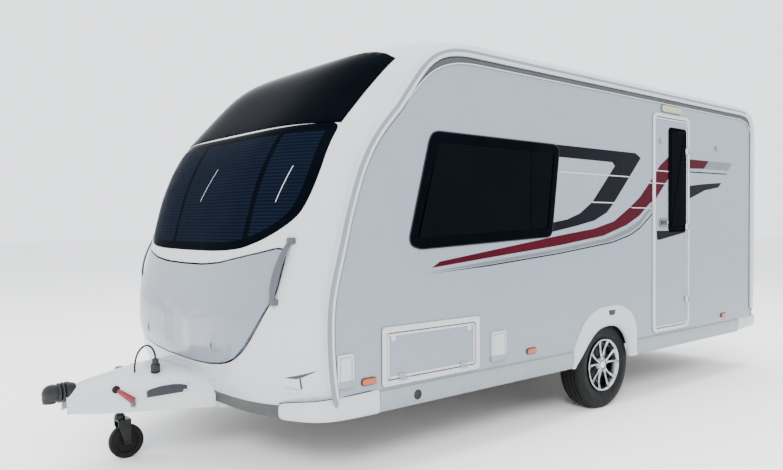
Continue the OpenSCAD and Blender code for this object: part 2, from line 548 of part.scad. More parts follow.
module skirts() color("gainsboro") at_axle() both_sides() {
    x0 = wall_x + seat;
    side_plate([[fy(-2300), 366], [-472, 366], [-468, 430], [-454, 480], [-450, 490], [fy(-2300), 490]], x0, trim_x);
    side_plate([[362, 366], [ry(2070), 366], [ry(2070), 490], [360, 490]], x0, trim_x);
    slab(x0, trim_x, ry(2074), ry(2400), 392, 490);
    side_plate([[fy(-2470), 400], [fy(-2440), 372], [fy(-2399), 366], [fy(-2299), 366], [fy(-2299), 490], [fy(-2470), 490]],
        x0, trim_x);
    translate([0, 0, 366]) linear_extrude(floor_b - seat - 366) polygon(concat(
        [for (u = [0.58, 0.64, 0.7, 0.76, 0.82, 0.87, 0.91, 0.945, 0.97, 0.988, 1]) plan_pt(u, 8)],
        [[trim_x, fy(-2400)], [x0, fy(-2400)]],
        [for (u = [0.988, 0.97, 0.945, 0.91, 0.87, 0.82, 0.76, 0.7, 0.64, 0.58]) plan_pt(u, -8)]));
}
module wheel_spats() color("gainsboro") at_axle() both_sides()
    side_plate(concat(ARCH_OUT, rev(ARCH_IN)), wall_x + seat, trim_x);
function plan_pt(u, d) = [u * (trim_x - 8 + d), fy(-2462) - 295 * (1 - pow(u, p_round)) - d];

function closed_in(v, d) = let (n = len(v)) [for (i = [0:n - 1]) let (a = v[(i + n - 1) % n], b = v[(i + 1) % n],
    t = (b - a) / norm(b - a)) v[i] + d * [-t[1], t[0]]];
function grown(v, d) = [for (i = [0:len(v) - 1]) let (a = v[max(i - 1, 0)], b = v[min(i + 1, len(v) - 1)],
    t = (b - a) / norm(b - a)) v[i] + d * [-t[1], t[0]]];
module edge_trims() color("white") at_axle() both_sides() {
    shell_edge = [for (i = [I_SKIRT:I_END]) [SHELL[i][0], SHELL[i][1]]];
    side_plate(concat(grown(TRIM_EDGE, 3 * seat), rev(shell_edge)), shell_x + seat, wall_x);
    rail = concat([[fy(-2468), 491]], [for (i = [1:len(TRIM_EDGE) - 2]) TRIM_EDGE[i]], [[ry(2336), 491]]);
    side_plate(concat(grown(rail, seat), rev(grown(rail, 30))), wall_x - 1, trim_x);
    side_plate(concat([for (i = [15:25]) grown(WALL_EDGE, seat)[i]], rev([for (i = [15:25]) grown(TRIM_EDGE, 1)[i]])),
        shell_x + seat, wall_x - 12);
}

door_z1 = hz(door_z0 + door_h);
hinge_x = trim_x - 6;
pin_r = 3;
hinge_y = door_y0 + door_w + 17;
module entrance_door() color("lightsteelblue") at_axle() {
    difference() {
        side_round(shell_x, wall_x, door_y0, door_y0 + door_w, door_z0, door_z1, 40);
        side_round(shell_x - 1, wall_x + 1, door_y0 + 222, door_y0 + 482, hz(1320), hz(2150), 30);
    }
    for (z = [720, 1330, 1960]) difference() {
        union() {
            translate([hinge_x, hinge_y, hz(z)]) cylinder(r = 6, h = 40);
            slab(wall_x - 1, wall_x + 9, door_y0 + door_w - 28, door_y0 + door_w - 4, hz(z), hz(z) + 40);
            slab(wall_x + 4, wall_x + 9, door_y0 + door_w - 6, hinge_y, hz(z), hz(z) + 40);
        }
        translate([hinge_x, hinge_y, hz(z) - 1]) cylinder(r = pin_r + run_gap, h = 42);
    }
}
module door_window() color("black", 0.6) at_axle()
    side_round(wall_x - 16, wall_x + 2, door_y0 + 222 + seat, door_y0 + 482 - seat, hz(1320) + seat, hz(2150) - seat, 30);
module door_handle() color("dimgray") at_axle()
    side_round(wall_x + seat, wall_x + 14, door_y0 + 69, door_y0 + 198, 1350, 1420, 16);
module door_frames() color("whitesmoke") at_axle() {
    g = leaf_gap;
    difference() {
        side_round(wall_x + seat, wall_x + 6, door_y0 - 35, door_y0 + door_w + 35, door_z0 - 35, door_z1 + 35, 60);
        side_round(wall_x - 1, trim_x, door_y0 - g, door_y0 + door_w + g, door_z0 - g, door_z1 + g, 44);
        for (z = [720, 1330, 1960]) slab(wall_x - 1, trim_x, door_y0 + door_w - 8, hinge_y + 12, hz(z) - 5, hz(z) + 45);
    }
    for (z = [720, 1330, 1960]) {
        translate([hinge_x, hinge_y, hz(z) + 46]) cylinder(r = 6, h = 34);
        translate([hinge_x, hinge_y, hz(z) + 2]) cylinder(r = pin_r, h = 46);
        slab(wall_x + 1, hinge_x, hinge_y - 4, hinge_y + 14, hz(z) + 46, hz(z) + 80);
    }
    h0 = fy(hatch_y0);
    difference() {
        side_round(wall_x + seat, wall_x + 6, h0 - 38, h0 + hatch_w + 38, hatch_z0 - 38, hatch_z0 + hatch_h + 40, 26);
        side_round(wall_x - 1, trim_x, h0 - g, h0 + hatch_w + g, hatch_z0 - g, hatch_z0 + hatch_h + g, 20);
        for (y = [80, hatch_w - 130]) slab(wall_x - 1, trim_x, h0 + y - 6, h0 + y + 56, hatch_z0 - 24, hatch_z0 + 10);
    }
    for (y = [80, hatch_w - 130]) {
        across2(h0 + y + 55, h0 + y + 75, hinge_x, hatch_hz, 6);
        across2(h0 + y + 4, h0 + y + 57, hinge_x, hatch_hz, pin_r);
    }
}
hatch_hz = hatch_z0 - 8;
module locker_door() color("whitesmoke") at_axle() {
    h0 = fy(hatch_y0);
    side_round(shell_x + 2, wall_x, h0, h0 + hatch_w, hatch_z0, hatch_z0 + hatch_h, 16);
    for (y = [80, hatch_w - 130]) difference() {
        union() {
            across2(h0 + y, h0 + y + 50, hinge_x, hatch_hz, 6);
            slab(wall_x - 1, wall_x + 9, h0 + y, h0 + y + 50, hatch_z0 + 4, hatch_z0 + 24);
            slab(wall_x + 4, wall_x + 9, h0 + y, h0 + y + 50, hatch_hz, hatch_z0 + 6);
        }
        across2(h0 + y - 1, h0 + y + 51, hinge_x, hatch_hz, pin_r + run_gap);
    }
}
module across2(y0, y1, x, z, r) translate([x, y0, z]) rotate([-90, 0, 0]) cylinder(r = r, h = y1 - y0);

module gas_locker_lid() color("white") at_axle() {
    moulded(2 * 905) union() {
        intersection() {
            sheet(2, 13, 0, lid_skin);
            front_prism(LID_HALF);
        }
        intersection() {
            sheet(2, 13, lid_skin - 0.5, 16);
            difference() {
                front_prism(LID_HALF, -60);
                front_prism(LID_HALF, -130);
            }
        }
        both_sides() side_plate([[skin_y(lid_arm_x, hz(1150)) + 2, hz(1150)], [skin_y(lid_arm_x, hz(1104)) + 2, hz(1104)],
            [lid_hy - lid_pad, hz(1104)], [lid_hy - lid_pad, hz(1150)]], lid_arm_x - 14, lid_arm_x + 14);
    }
    both_sides() translate([lid_arm_x - 8, lid_hy, lid_hz]) rotate([0, 90, 0]) difference() {
        union() {
            cylinder(r = 16, h = 16);
            rotate([0, 0, 42]) slab(12, lid_arm_r, -9, 9, 1, 15);
            rotate([0, 0, -lid_arm_a]) rotate_extrude(angle = lid_arm_a + 46) translate([lid_arm_r - 10, 2]) square([20, 12]);
        }
        translate([0, 0, -1]) cylinder(r = 6 + run_gap, h = 18);
    }
}
module grab_handles() color("gray") at_axle() both_sides() {
    a = [935, skin_y(924, hz(1300)), hz(1300)];
    b = [930, skin_y(919, hz(1030)), hz(1046)];
    difference() {
        union() {
            rod(a + [0, 22, 0], a + [0, -37, 0], 9);
            rod(b + [0, 22, 0], b + [0, -37, 0], 9);
        }
        sheet(7, 15, -seat, 60);
    }
    rod(a + [0, -36, 10], b + [0, -36, -10], 11);
}
module locker_bulkhead() color("whitesmoke") at_axle() {
    slab(-shell_x + seat, shell_x - seat, fy(-2190), fy(-2175), floor_z + seat, hz(1354));
    slab(-840, 840, fy(-2560), fy(-2190), hz(1342), hz(1354));
    both_sides() {
        for (x = [lid_arm_x - 20, lid_arm_x + 14]) {
            across(x, x + 6, lid_hy, lid_hz, 14);
            slab(x, x + 6, lid_hy - 14, lid_hy + 60, lid_hz, hz(1354));
            slab(x, x + 6, lid_hy + 30, fy(-2540), hz(1342), hz(1354));
        }
        across(lid_arm_x - 18, lid_arm_x + 18, lid_hy, lid_hz, 6);
    }
}

module side_windows() color("black", 0.6) at_axle() {
    side_plate([for (p = closed_in(NEAR_WINDOW, seat)) [fy(p[0]), hz(p[1])]], shell_x + 6, wall_x + 6);
    for (w = FAR_WINDOWS) side_round(-wall_x - 6, -shell_x - 6, w[0] + seat, w[1] - seat, hz(w[2]) + seat,
        hz(w[3]) - seat, 60);
    translate([0, ry(2478) + 32, 0]) rotate([90, 0, 0]) linear_extrude(14) offset(r = 49)
        polygon([[-420, hz(1450)], [420, hz(1450)], [420, hz(1850)], [-420, hz(1850)]]);
}
module service_boxes() color("whitesmoke") at_axle() {
    for (q = [[fy(-2470), fy(-2366), 541, 709], [-1305, -1172, 530, 711]])
        side_round(wall_x + seat, wall_x + 9, q[0], q[1], q[2], q[3], 12);
    side_round(-wall_x - 9, -wall_x - seat, 1015, 1385, 545, 845, 14);
    for (z = [1000, 1450]) side_round(-wall_x - 9, -wall_x - seat, -420, 30, hz(z), hz(z) + 260, 10);
}
module side_lamps() color("orange") at_axle() {
    both_sides() for (y = [-2264, -915, 1793]) side_round(wall_x + seat, wall_x + 10, y - 48, y + 48, 530, 565, 17);
    side_round(wall_x + seat, trim_x - 0.5, door_y0 + 97, door_y0 + 400, door_z1 + 50, door_z1 + 102, 20);
}

module tyre() color("black") rotate([0, 90, 0]) rotate_extrude($fn = 96) polygon([
    [rim_r - 15 + seat, -66], [rim_r + 2, -70], [rim_r + 30, -84], [rim_r + 62, -tyre_w / 2], [tyre_r - 40, -tyre_w / 2 + 4],
    [tyre_r - 18, -tyre_w / 2 + 12], [tyre_r - 6, -tyre_w / 2 + 24], [tyre_r, -tyre_w / 2 + 42],
    [tyre_r, tyre_w / 2 - 42], [tyre_r - 6, tyre_w / 2 - 24], [tyre_r - 18, tyre_w / 2 - 12],
    [tyre_r - 40, tyre_w / 2 - 4], [rim_r + 62, tyre_w / 2], [rim_r + 30, 84], [rim_r + 2, 70], [rim_r - 15 + seat, 66]]);
module rim() color("silver") {
    rotate([0, 90, 0]) {
        rotate_extrude($fn = 96) polygon([[rim_r - 22, -74], [rim_r, -76], [rim_r, -72], [rim_r - 15, -66],
            [rim_r - 15, 66], [rim_r, 72], [rim_r, 76], [rim_r - 22, 74]]);
        rotate_extrude($fn = 96) polygon([[20 + run_gap, 20], [74, 20], [74, 52], [40, 60], [20 + run_gap, 60]]);
        for (k = [0:4], e = [-1, 1]) rotate([0, 0, k * 72 + e * 11]) translate([50, -13, 44]) cube([rim_r - 70, 26, 20]);
        rotate_extrude($fn = 96) polygon([[20 + run_gap, -60], [60, -60], [60, -10], [100, -10], [100, -110],
            [108, -110], [108, 0], [60, 0], [60, 22], [20 + run_gap, 22]]);
    }
}
module right_tyre() at_axle() translate([tyre_x, 0, tyre_r]) tyre();
module right_rim() at_axle() translate([tyre_x, 0, tyre_r]) rim();
module left_tyre() at_axle() mirror([1, 0, 0]) translate([tyre_x, 0, tyre_r]) tyre();
module left_rim() at_axle() mirror([1, 0, 0]) translate([tyre_x, 0, tyre_r]) rim();

// every piece by name
chassis_frame();
axle();
coupling_head();
a_frame_cover();
handbrake_lever();
tow_plug();
tow_lead();
jockey_clamp();
jockey_mast();
jockey_fork();
jockey_wheel();
steady_bases();
steady_leg_fl();
steady_leg_fr();
steady_leg_rl();
steady_leg_rr();
steady_strut_fl();
steady_strut_fr();
steady_strut_rl();
steady_strut_rr();
floor_panel();
left_wall();
right_wall();
front_panel();
front_window();
sky_window();
window_blinds();
roof_panel();
rooflight();
rear_panel();
rear_bumper();
tail_lights();
skirts();
wheel_spats();
edge_trims();
entrance_door();
door_handle();
door_window();
door_frames();
gas_locker_lid();
grab_handles();
locker_bulkhead();
locker_door();
side_windows();
service_boxes();
side_lamps();
wheel_boxes();
left_tyre();
left_rim();
right_tyre();
right_rim();
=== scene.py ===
# Looks of the touring caravan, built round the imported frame. Metres; y is measured from the axle
# and moved once, in add(), to the row frame.
import math
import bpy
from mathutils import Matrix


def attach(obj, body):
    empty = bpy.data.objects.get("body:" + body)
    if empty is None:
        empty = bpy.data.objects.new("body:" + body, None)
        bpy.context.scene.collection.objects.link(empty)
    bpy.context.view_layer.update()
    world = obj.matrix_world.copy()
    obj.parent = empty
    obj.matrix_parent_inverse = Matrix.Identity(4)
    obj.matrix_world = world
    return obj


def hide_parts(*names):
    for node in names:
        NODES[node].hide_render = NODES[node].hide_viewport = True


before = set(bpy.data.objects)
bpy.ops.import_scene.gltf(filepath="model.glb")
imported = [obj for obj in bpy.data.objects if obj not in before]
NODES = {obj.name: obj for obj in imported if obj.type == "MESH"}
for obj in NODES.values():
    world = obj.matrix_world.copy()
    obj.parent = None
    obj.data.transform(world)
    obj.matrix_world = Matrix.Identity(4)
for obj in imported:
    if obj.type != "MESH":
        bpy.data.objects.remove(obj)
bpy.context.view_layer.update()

import bpy
import bmesh
import numpy as np
from mathutils import Matrix, Vector, geometry

AXLE = 0.55        # the axle's y in the row frame
WALL = 1.115       # outer face of the side walls, from the middle
SHELL_X = 1.085    # where the moulded front, roof and rear end at each side
NOSE = -3.62       # tip of the coupling
SIDES = ((1, "right"), (-1, "left"))

# ---------------------------------------------------------------- camera
cam_data = bpy.data.cameras.new("camera")
cam_data.sensor_width = 36.0
cam_data.lens = 31.83
cam = bpy.data.objects.new("camera", cam_data)
bpy.context.collection.objects.link(cam)
CAM_AT = Vector((4.025, -3.96, 1.386))
CAM_YAW, CAM_PITCH, CAM_ROLL = math.radians(50.38), math.radians(-0.94), math.radians(-0.245)
cam.matrix_world = (Matrix.Translation(CAM_AT) @ Matrix.Rotation(CAM_YAW, 4, "Z")
                    @ Matrix.Rotation(math.pi / 2 + CAM_PITCH, 4, "X") @ Matrix.Rotation(CAM_ROLL, 4, "Z"))
bpy.context.scene.camera = cam


def material(name, color, rough=0.4, metal=0.0, coat=0.0, vary=0.06, scale=5.0,
             rough_vary=0.08, bump=0.0, bump_scale=60.0, dust=0.0, wave=0.0, spec=0.5, ior=1.5,
             stripes=None, sheen=0.0, stretch=(1, 1, 1)):
    """A procedural finish: drifting colour, uneven gloss, fine grain, slow waves and road dust low down.
    """
    m = bpy.data.materials.new(name)
    m.use_nodes = True
    t = m.node_tree
    t.nodes.clear()
    out = t.nodes.new("ShaderNodeOutputMaterial")
    p = t.nodes.new("ShaderNodeBsdfPrincipled")
    t.links.new(p.outputs[0], out.inputs[0])
    at = t.nodes.new("ShaderNodeTexCoord")
    squeeze = t.nodes.new("ShaderNodeMapping")
    squeeze.inputs["Scale"].default_value = stretch
    t.links.new(at.outputs["Object"], squeeze.inputs[0])
    where = squeeze.outputs[0]
    p.inputs["Metallic"].default_value = metal
    p.inputs["Coat Weight"].default_value = coat
    p.inputs["Coat Roughness"].default_value = 0.05
    p.inputs["Specular IOR Level"].default_value = spec
    p.inputs["IOR"].default_value = ior
    p.inputs["Sheen Weight"].default_value = sheen

    def noise(freq, detail=4.0):
        n = t.nodes.new("ShaderNodeTexNoise")
        n.inputs["Scale"].default_value = freq
        n.inputs["Detail"].default_value = detail
        t.links.new(where, n.inputs["Vector"])
        return n.outputs["Fac"]

    def spread(fac, a, b):
        r = t.nodes.new("ShaderNodeMapRange")
        r.inputs["From Min"].default_value = 0.3
        r.inputs["From Max"].default_value = 0.7
        r.inputs["To Min"].default_value = a
        r.inputs["To Max"].default_value = b
        t.links.new(fac, r.inputs["Value"])
        return r.outputs[0]

    def mixed(fac, a, b):
        n = t.nodes.new("ShaderNodeMix")
        n.data_type = "RGBA"
        for value, socket in ((a, n.inputs[6]), (b, n.inputs[7])):
            if isinstance(value, tuple):
                socket.default_value = (*value, 1)
            else:
                t.links.new(value, socket)
        t.links.new(fac, n.inputs[0])
        return n.outputs[2]

    low = tuple(c * (1 - vary) for c in color)
    high = tuple(min(1.0, c * (1 + vary)) for c in color)
    col = mixed(spread(noise(scale), 0, 1), low, high)
    if stripes:
        axis, period, tint, weight = stripes
        split = t.nodes.new("ShaderNodeSeparateXYZ")
        t.links.new(at.outputs["Object"], split.inputs[0])
        saw = t.nodes.new("ShaderNodeMath")
        saw.operation = "PINGPONG"
        saw.inputs[1].default_value = period / 2
        t.links.new(split.outputs[axis], saw.inputs[0])
        fac = t.nodes.new("ShaderNodeMapRange")
        fac.inputs["From Max"].default_value = period / 2
        fac.inputs["To Max"].default_value = weight
        t.links.new(saw.outputs[0], fac.inputs["Value"])
        col = mixed(fac.outputs[0], col, tint)
    if dust:
        split = t.nodes.new("ShaderNodeSeparateXYZ")
        t.links.new(at.outputs["Object"], split.inputs[0])
        height = t.nodes.new("ShaderNodeMapRange")
        height.inputs["From Min"].default_value = 0.25
        height.inputs["From Max"].default_value = 0.95
        height.inputs["To Min"].default_value = dust
        height.inputs["To Max"].default_value = 0.0
        t.links.new(split.outputs[2], height.inputs["Value"])
        patchy = t.nodes.new("ShaderNodeMath")
        patchy.operation = "MULTIPLY"
        t.links.new(height.outputs[0], patchy.inputs[0])
        t.links.new(spread(noise(9.0, 6.0), 0.2, 1.0), patchy.inputs[1])
        col = mixed(patchy.outputs[0], col, (0.33, 0.30, 0.26))
    t.links.new(col, p.inputs["Base Color"])
    t.links.new(spread(noise(scale * 2.3), max(0.02, rough - rough_vary), rough + rough_vary),
                p.inputs["Roughness"])
    normal = None
    for amount, freq, reach in ((wave, 1.6, 0.02), (bump, bump_scale, 0.001)):
        if amount:
            b = t.nodes.new("ShaderNodeBump")
            b.inputs["Strength"].default_value = amount
            b.inputs["Distance"].default_value = reach
            t.links.new(noise(freq, 2.0), b.inputs["Height"])
            if normal:
                t.links.new(normal, b.inputs["Normal"])
            normal = b.outputs[0]
    if normal:
        t.links.new(normal, p.inputs["Normal"])
        if coat:
            t.links.new(normal, p.inputs["Coat Normal"])
    return m


# The lid's white is a darker copy of the front's: painted shade, for a lid that faces down out of the light.
LID_SHADED_WHITE = material("lid_gelcoat_painted_shade", (0.14, 0.165, 0.194), 0.26, coat=0.35, vary=0.012,
                     rough_vary=0.05, bump=0.05, bump_scale=220, wave=0.03)
WHITE = material("white_gelcoat", (0.365, 0.387, 0.408), 0.28, coat=0.35, vary=0.012,
                 rough_vary=0.05, bump=0.05, bump_scale=220, dust=0.1, wave=0.03)
# The side walls and doors are the same white as the front; their darker copy is painted shade on the side.
SIDE_SHADED_WHITE = material("side_skin", (0.162, 0.197, 0.234), 0.32, coat=0.2, vary=0.012,
                rough_vary=0.05, bump=0.05, bump_scale=300, dust=0.1, wave=0.04)
TRIM = material("trim_white", (0.3564, 0.3742, 0.392), 0.25, coat=0.4, vary=0.01, bump=0.04,
                bump_scale=180, dust=0.12)
# The skirts and rear bumper are white too; their darker copy is painted shade, like the side walls.
SKIRT_SHADED_WHITE = material("skirt_white_painted_shade", (0.155, 0.193, 0.214), 0.33, coat=0.2, vary=0.03,
                 bump=0.06, bump_scale=160, dust=0.22)
# The strip under the front faces down; its near-black colour is painted shade.
VALANCE_SHADE = material("front_valance_painted_shade", (0.046, 0.052, 0.051), 0.5, vary=0.15, scale=6,
                   bump=0.1, spec=0.25)
GLASS = material("dark_acrylic", (0.0012, 0.0019, 0.003), 0.1, vary=0.2,
                 rough_vary=0.03, wave=0.04, spec=0.02, ior=1.12)
BORDER = material("black_border", (0.001, 0.0013, 0.002), 0.16, vary=0.2, rough_vary=0.03,
                  spec=0.02, ior=1.12)
BLIND = material("pleated_blind", (0.004, 0.0066, 0.0135), 0.28, vary=0.12, spec=0.02,
                 ior=1.12, stripes=(2, 0.019, (0.0011, 0.0022, 0.0052), 0.9))
DIM_BLIND = material("shaded_blind", (0.0026, 0.0034, 0.0042), 0.28, vary=0.12, spec=0.02,
                     ior=1.12, stripes=(2, 0.019, (0.0016, 0.0022, 0.0032), 0.9))
SEAL = material("rubber_seal", (0.0079, 0.0086, 0.0099), 0.55, vary=0.2, bump=0.2,
                bump_scale=300, spec=0.3)
# Near-black painted shade for recesses: the awning channel and the step in the lower corners.
RECESS_SHADE = material("recess_painted_shade", (0.0363, 0.0429, 0.0495), 0.5, vary=0.12, spec=0.3)
# Grey painted shade for the groove in the edge trims.
GROOVE_SHADE = material("trim_groove", (0.1452, 0.1617, 0.1881), 0.4, vary=0.05, spec=0.3)
MAROON = material("maroon_vinyl", (0.0409, 0.002, 0.0066), 0.3, vary=0.12, scale=3,
                  spec=0.12, ior=1.2)
BLACK_VINYL = material("black_vinyl", (0.004, 0.0043, 0.0066), 0.3, vary=0.15, scale=3,
                       spec=0.12, ior=1.2)
SILVER_VINYL = material("silver_vinyl", (0.0954, 0.1038, 0.1150), 0.35, metal=0.2, vary=0.08)
WHITE_VINYL = material("white_vinyl", (0.4092, 0.4224, 0.4356), 0.35, vary=0.03)
GREY = material("grey_plastic", (0.0858, 0.0924, 0.1023), 0.42, vary=0.1, bump=0.25,
                bump_scale=500, spec=0.35)
GRIP = material("grip_plastic", (0.0561, 0.0607, 0.0693), 0.42, vary=0.1, bump=0.25,
                bump_scale=500, spec=0.35)
PAD = material("pad_plastic", (0.0165, 0.0185, 0.0225), 0.5, vary=0.08, bump=0.3,
               bump_scale=420, spec=0.3)
STEEL_BLUE = material("lever_end", (0.066, 0.0792, 0.0924), 0.4, vary=0.1, spec=0.35)
PALE_GREY = material("pale_plastic", (0.198, 0.2112, 0.2277), 0.42, vary=0.05, bump=0.15,
                     bump_scale=400)
DARK_GREY = material("dark_plastic", (0.0145, 0.0165, 0.0198), 0.5, vary=0.15, bump=0.3,
                     bump_scale=400, spec=0.3)
RED = material("red_grip", (0.13, 0.0045, 0.006), 0.38, coat=0.15, vary=0.1, bump=0.1,
               bump_scale=300)
AMBER = material("amber_lens", (0.33, 0.046, 0.0012), 0.16, coat=0.3, vary=0.1,
                 stripes=(2, 0.004, (0.2376, 0.033, 0.0013), 0.6))
RED_LENS = material("red_lens", (0.198, 0.004, 0.004), 0.14, coat=0.6, vary=0.1,
                    stripes=(2, 0.006, (0.1056, 0.002, 0.002), 0.6))
YELLOWED = material("awning_lamp_lens", (0.3036, 0.2838, 0.1452), 0.22, coat=0.4, vary=0.08,
                    stripes=(1, 0.006, (0.2244, 0.2112, 0.1056), 0.5))
RUBBER = material("tyre_rubber", (0.003, 0.0031, 0.0029), 0.75, vary=0.25, scale=14, bump=0.4,
                  bump_scale=260, spec=0.25)
ALLOY = material("bright_alloy", (0.46, 0.47, 0.49), 0.16, metal=1.0, vary=0.45, rough_vary=0.06,
                 scale=16)
CHROME = material("chrome_spoke", (0.34, 0.35, 0.37), 0.11, metal=1.0, vary=0.75,
                  rough_vary=0.05, scale=24)
ZINC = material("galvanised", (0.34, 0.36, 0.38), 0.42, metal=0.85, vary=0.25, scale=26,
                rough_vary=0.12, bump=0.2, bump_scale=90)
BLACK_STEEL = material("black_steel", (0.0079, 0.0083, 0.0092), 0.42, metal=0.2, vary=0.3,
                       scale=16, bump=0.3, bump_scale=200, spec=0.3)
CAST = material("cast_coupling", (0.0053, 0.0053, 0.0059), 0.42, vary=0.3, scale=30,
                bump=0.5, bump_scale=240, spec=0.35)
PLY = material("floor_ply", (0.132, 0.0924, 0.0594), 0.6, vary=0.25, scale=3, bump=0.3,
               bump_scale=30, stretch=(0.66, 5.28, 5.28))
INNER = material("inner_lining", (0.2772, 0.264, 0.2442), 0.6, vary=0.04, bump=0.2,
                 bump_scale=120)
BLACK_PLASTIC = material("arch_liner", (0.0053, 0.0053, 0.0059), 0.7, vary=0.2, bump=0.5,
                         bump_scale=120, spec=0.25)
CLOTH = material("blind_cloth", (0.033, 0.0363, 0.0462), 0.8, vary=0.1, bump=0.4,
                 bump_scale=500, sheen=0.3, stripes=(2, 0.019, (0.0132, 0.0145, 0.0198), 1.0))
FLOOR = material("studio_floor", (0.9, 0.9, 0.9), 0.85, vary=0.008, scale=1.5, bump=0.05,
                 bump_scale=40, spec=0.2)


# ---------------------------------------------------------------- mesh tools
SOFT_FROM = 35.0
SHARP_FROM = 40.0


def add(name, verts, faces, mat, body="caravan", thick=0.0, bevel=0.0, closed=False, segments=2, slot=None):
    """A named piece from points and faces, given its thickness, soft edges, body and material; slot is not
    used.
    """
    pts = np.array([tuple(v) for v in verts], float)
    pts[:, 1] += AXLE
    me = bpy.data.meshes.new(name)
    me.from_pydata(pts.tolist(), [], faces)
    me.validate()
    ob = bpy.data.objects.new(name, me)
    bpy.context.collection.objects.link(ob)
    if closed:
        bm = bmesh.new()
        bm.from_mesh(me)
        bmesh.ops.remove_doubles(bm, verts=bm.verts, dist=1e-6)
        bmesh.ops.recalc_face_normals(bm, faces=bm.faces)
        bm.to_mesh(me)
        bm.free()
    if thick:
        wall = ob.modifiers.new("thickness", "SOLIDIFY")
        wall.thickness = thick
        wall.offset = -1.0
    if bevel:
        edge = ob.modifiers.new("soft_edges", "BEVEL")
        edge.width = bevel
        edge.segments = segments
        edge.limit_method = "ANGLE"
        edge.angle_limit = math.radians(SOFT_FROM)
        edge.use_clamp_overlap = True
    if ob.modifiers:
        done = bpy.data.meshes.new_from_object(ob.evaluated_get(bpy.context.evaluated_depsgraph_get()))
        ob.modifiers.clear()
        ob.data = done
        done.name = name
    me = ob.data
    me.materials.clear()
    me.materials.append(mat)
    me.polygons.foreach_set("use_smooth", [True] * len(me.polygons))
    me.set_sharp_from_angle(angle=math.radians(SHARP_FROM))
    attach(ob, body)
    return ob


def loft(name, rows, mat, body="caravan", ring=False, caps=True, hoops=True, **k):
    """Quads between rows of points. Each row is a closed section unless hoops is False."""
    n, m = len(rows), len(rows[0])
    verts = [p for row in rows for p in row]
    faces = []
    for i in range(n if ring else n - 1):
        for j in range(m if hoops else m - 1):
            a, b = i * m + j, i * m + (j + 1) % m
            c, d = ((i + 1) % n) * m + (j + 1) % m, ((i + 1) % n) * m + j
            faces.append((a, b, c, d))
    if caps and hoops and not ring:
        faces += [tuple(range(m - 1, -1, -1)), tuple((n - 1) * m + j for j in range(m))]
    return add(name, verts, faces, mat, body, closed=hoops, **k)


def tube(name, path, r, mat, body="caravan", n=16, **k):
    """A round bar along a smooth path."""
    path = [Vector(p) for p in path]
    rows = []
    for i, p in enumerate(path):
        d = (path[min(i + 1, len(path) - 1)] - path[max(i - 1, 0)]).normalized()
        side = d.cross(Vector((0.6, 0.8, 0))).normalized()
        up = side.cross(d)
        rr = r[i] if isinstance(r, (list, tuple)) else r
        rows.append([p + rr * (math.cos(2 * math.pi * q / n) * side + math.sin(2 * math.pi * q / n) * up)
                     for q in range(n)])
    return loft(name, rows, mat, body, **k)


def lathe(name, profile, at, mat, body="caravan", axis="x", n=64, **k):
    """Points (radius, along) turned round an axis through at."""
    rows = []
    for q in range(n):
        a = 2 * math.pi * q / n
        row = []
        for r, t in profile:
            c, s = r * math.cos(a), r * math.sin(a)
            v = {"x": (t, c, s), "y": (c, t, s), "z": (c, s, t)}[axis]
            row.append((at[0] + v[0], at[1] + v[1], at[2] + v[2]))
        rows.append(row)
    return loft(name, rows, mat, body, ring=True, caps=False, **k)


def plate(name, outline, low, high, mat, body="caravan", bevel=0.0, side=1, **k):
    """A flat piece on the side wall: an outline of (y, z) between two heights over its face."""
    n = len(outline)
    verts = [(side * (WALL + x), y, z) for x in (low, high) for y, z in outline]
    faces = [tuple(range(n)), tuple(range(2 * n - 1, n - 1, -1))]
    faces += [(i, (i + 1) % n, n + (i + 1) % n, n + i) for i in range(n)]
    return add(name, verts, faces, mat, body, closed=True, bevel=bevel, **k)


def band(name, outer, inner, low, high, mat, body="caravan", bevel=0.0, side=1, **k):
    """A flat ring on the side wall, between two outlines with as many points."""
    rows = []
    for o, i in zip(outer, inner):
        corners = ((low, o), (high, o), (high, i), (low, i))
        rows.append([(side * (WALL + x), y, z) for x, (y, z) in corners])
    return loft(name, rows, mat, body, ring=True, bevel=bevel, **k)


def rounded(points, r, n=6):
    """The outline with each corner eased over the distance r, or less where a side is short."""
    out = []
    for i, p in enumerate(points):
        p = Vector(p)
        a, b = Vector(points[i - 1]), Vector(points[(i + 1) % len(points)])
        da, db = min(r, (a - p).length * 0.49), min(r, (b - p).length * 0.49)
        s, e = p + (a - p).normalized() * da, p + (b - p).normalized() * db
        for q in range(n + 1):
            t = q / n
            out.append(tuple((1 - t) ** 2 * s + 2 * t * (1 - t) * p + t * t * e))
    return out


def rounded_box(y0, y1, z0, z1, r):
    """A rectangle of (y, z) with its corners eased."""
    return rounded([(y0, z0), (y1, z0), (y1, z1), (y0, z1)], r)


def inset(outline, d):
    """The outline moved inwards by d, with as many points."""
    pts = [Vector(p) for p in outline]
    area = sum(a.x * b.y - b.x * a.y for a, b in zip(pts, pts[1:] + pts[:1]))
    out = []
    for i, p in enumerate(pts):
        u, v = (p - pts[i - 1]), (pts[(i + 1) % len(pts)] - p)
        u = u.normalized() if u.length > 1e-7 else v.normalized()
        v = v.normalized() if v.length > 1e-7 else u
        nrm = Vector((-u.y - v.y, u.x + v.x))
        nrm.normalize()
        grow = 1 / max(0.5, nrm.dot(Vector((-u.y, u.x))))
        out.append(tuple(p + nrm * d * grow * (1 if area > 0 else -1)))
    return out


def clip(outline, axis, limit, keep):
    """The part of an outline above (keep 1) or below (keep -1) a limit on one axis."""
    out = []
    for i, b in enumerate(outline):
        a = outline[i - 1]
        fa, fb = keep * (a[axis] - limit), keep * (b[axis] - limit)
        if fa * fb < 0:
            t = fa / (fa - fb)
            out.append((a[0] + (b[0] - a[0]) * t, a[1] + (b[1] - a[1]) * t))
        if fb >= 0:
            out.append(tuple(b))
    return out


def between(outline, low, high):
    """The part of an outline between two values of its first coordinate."""
    return clip(clip(outline, 0, low, 1), 0, high, -1)


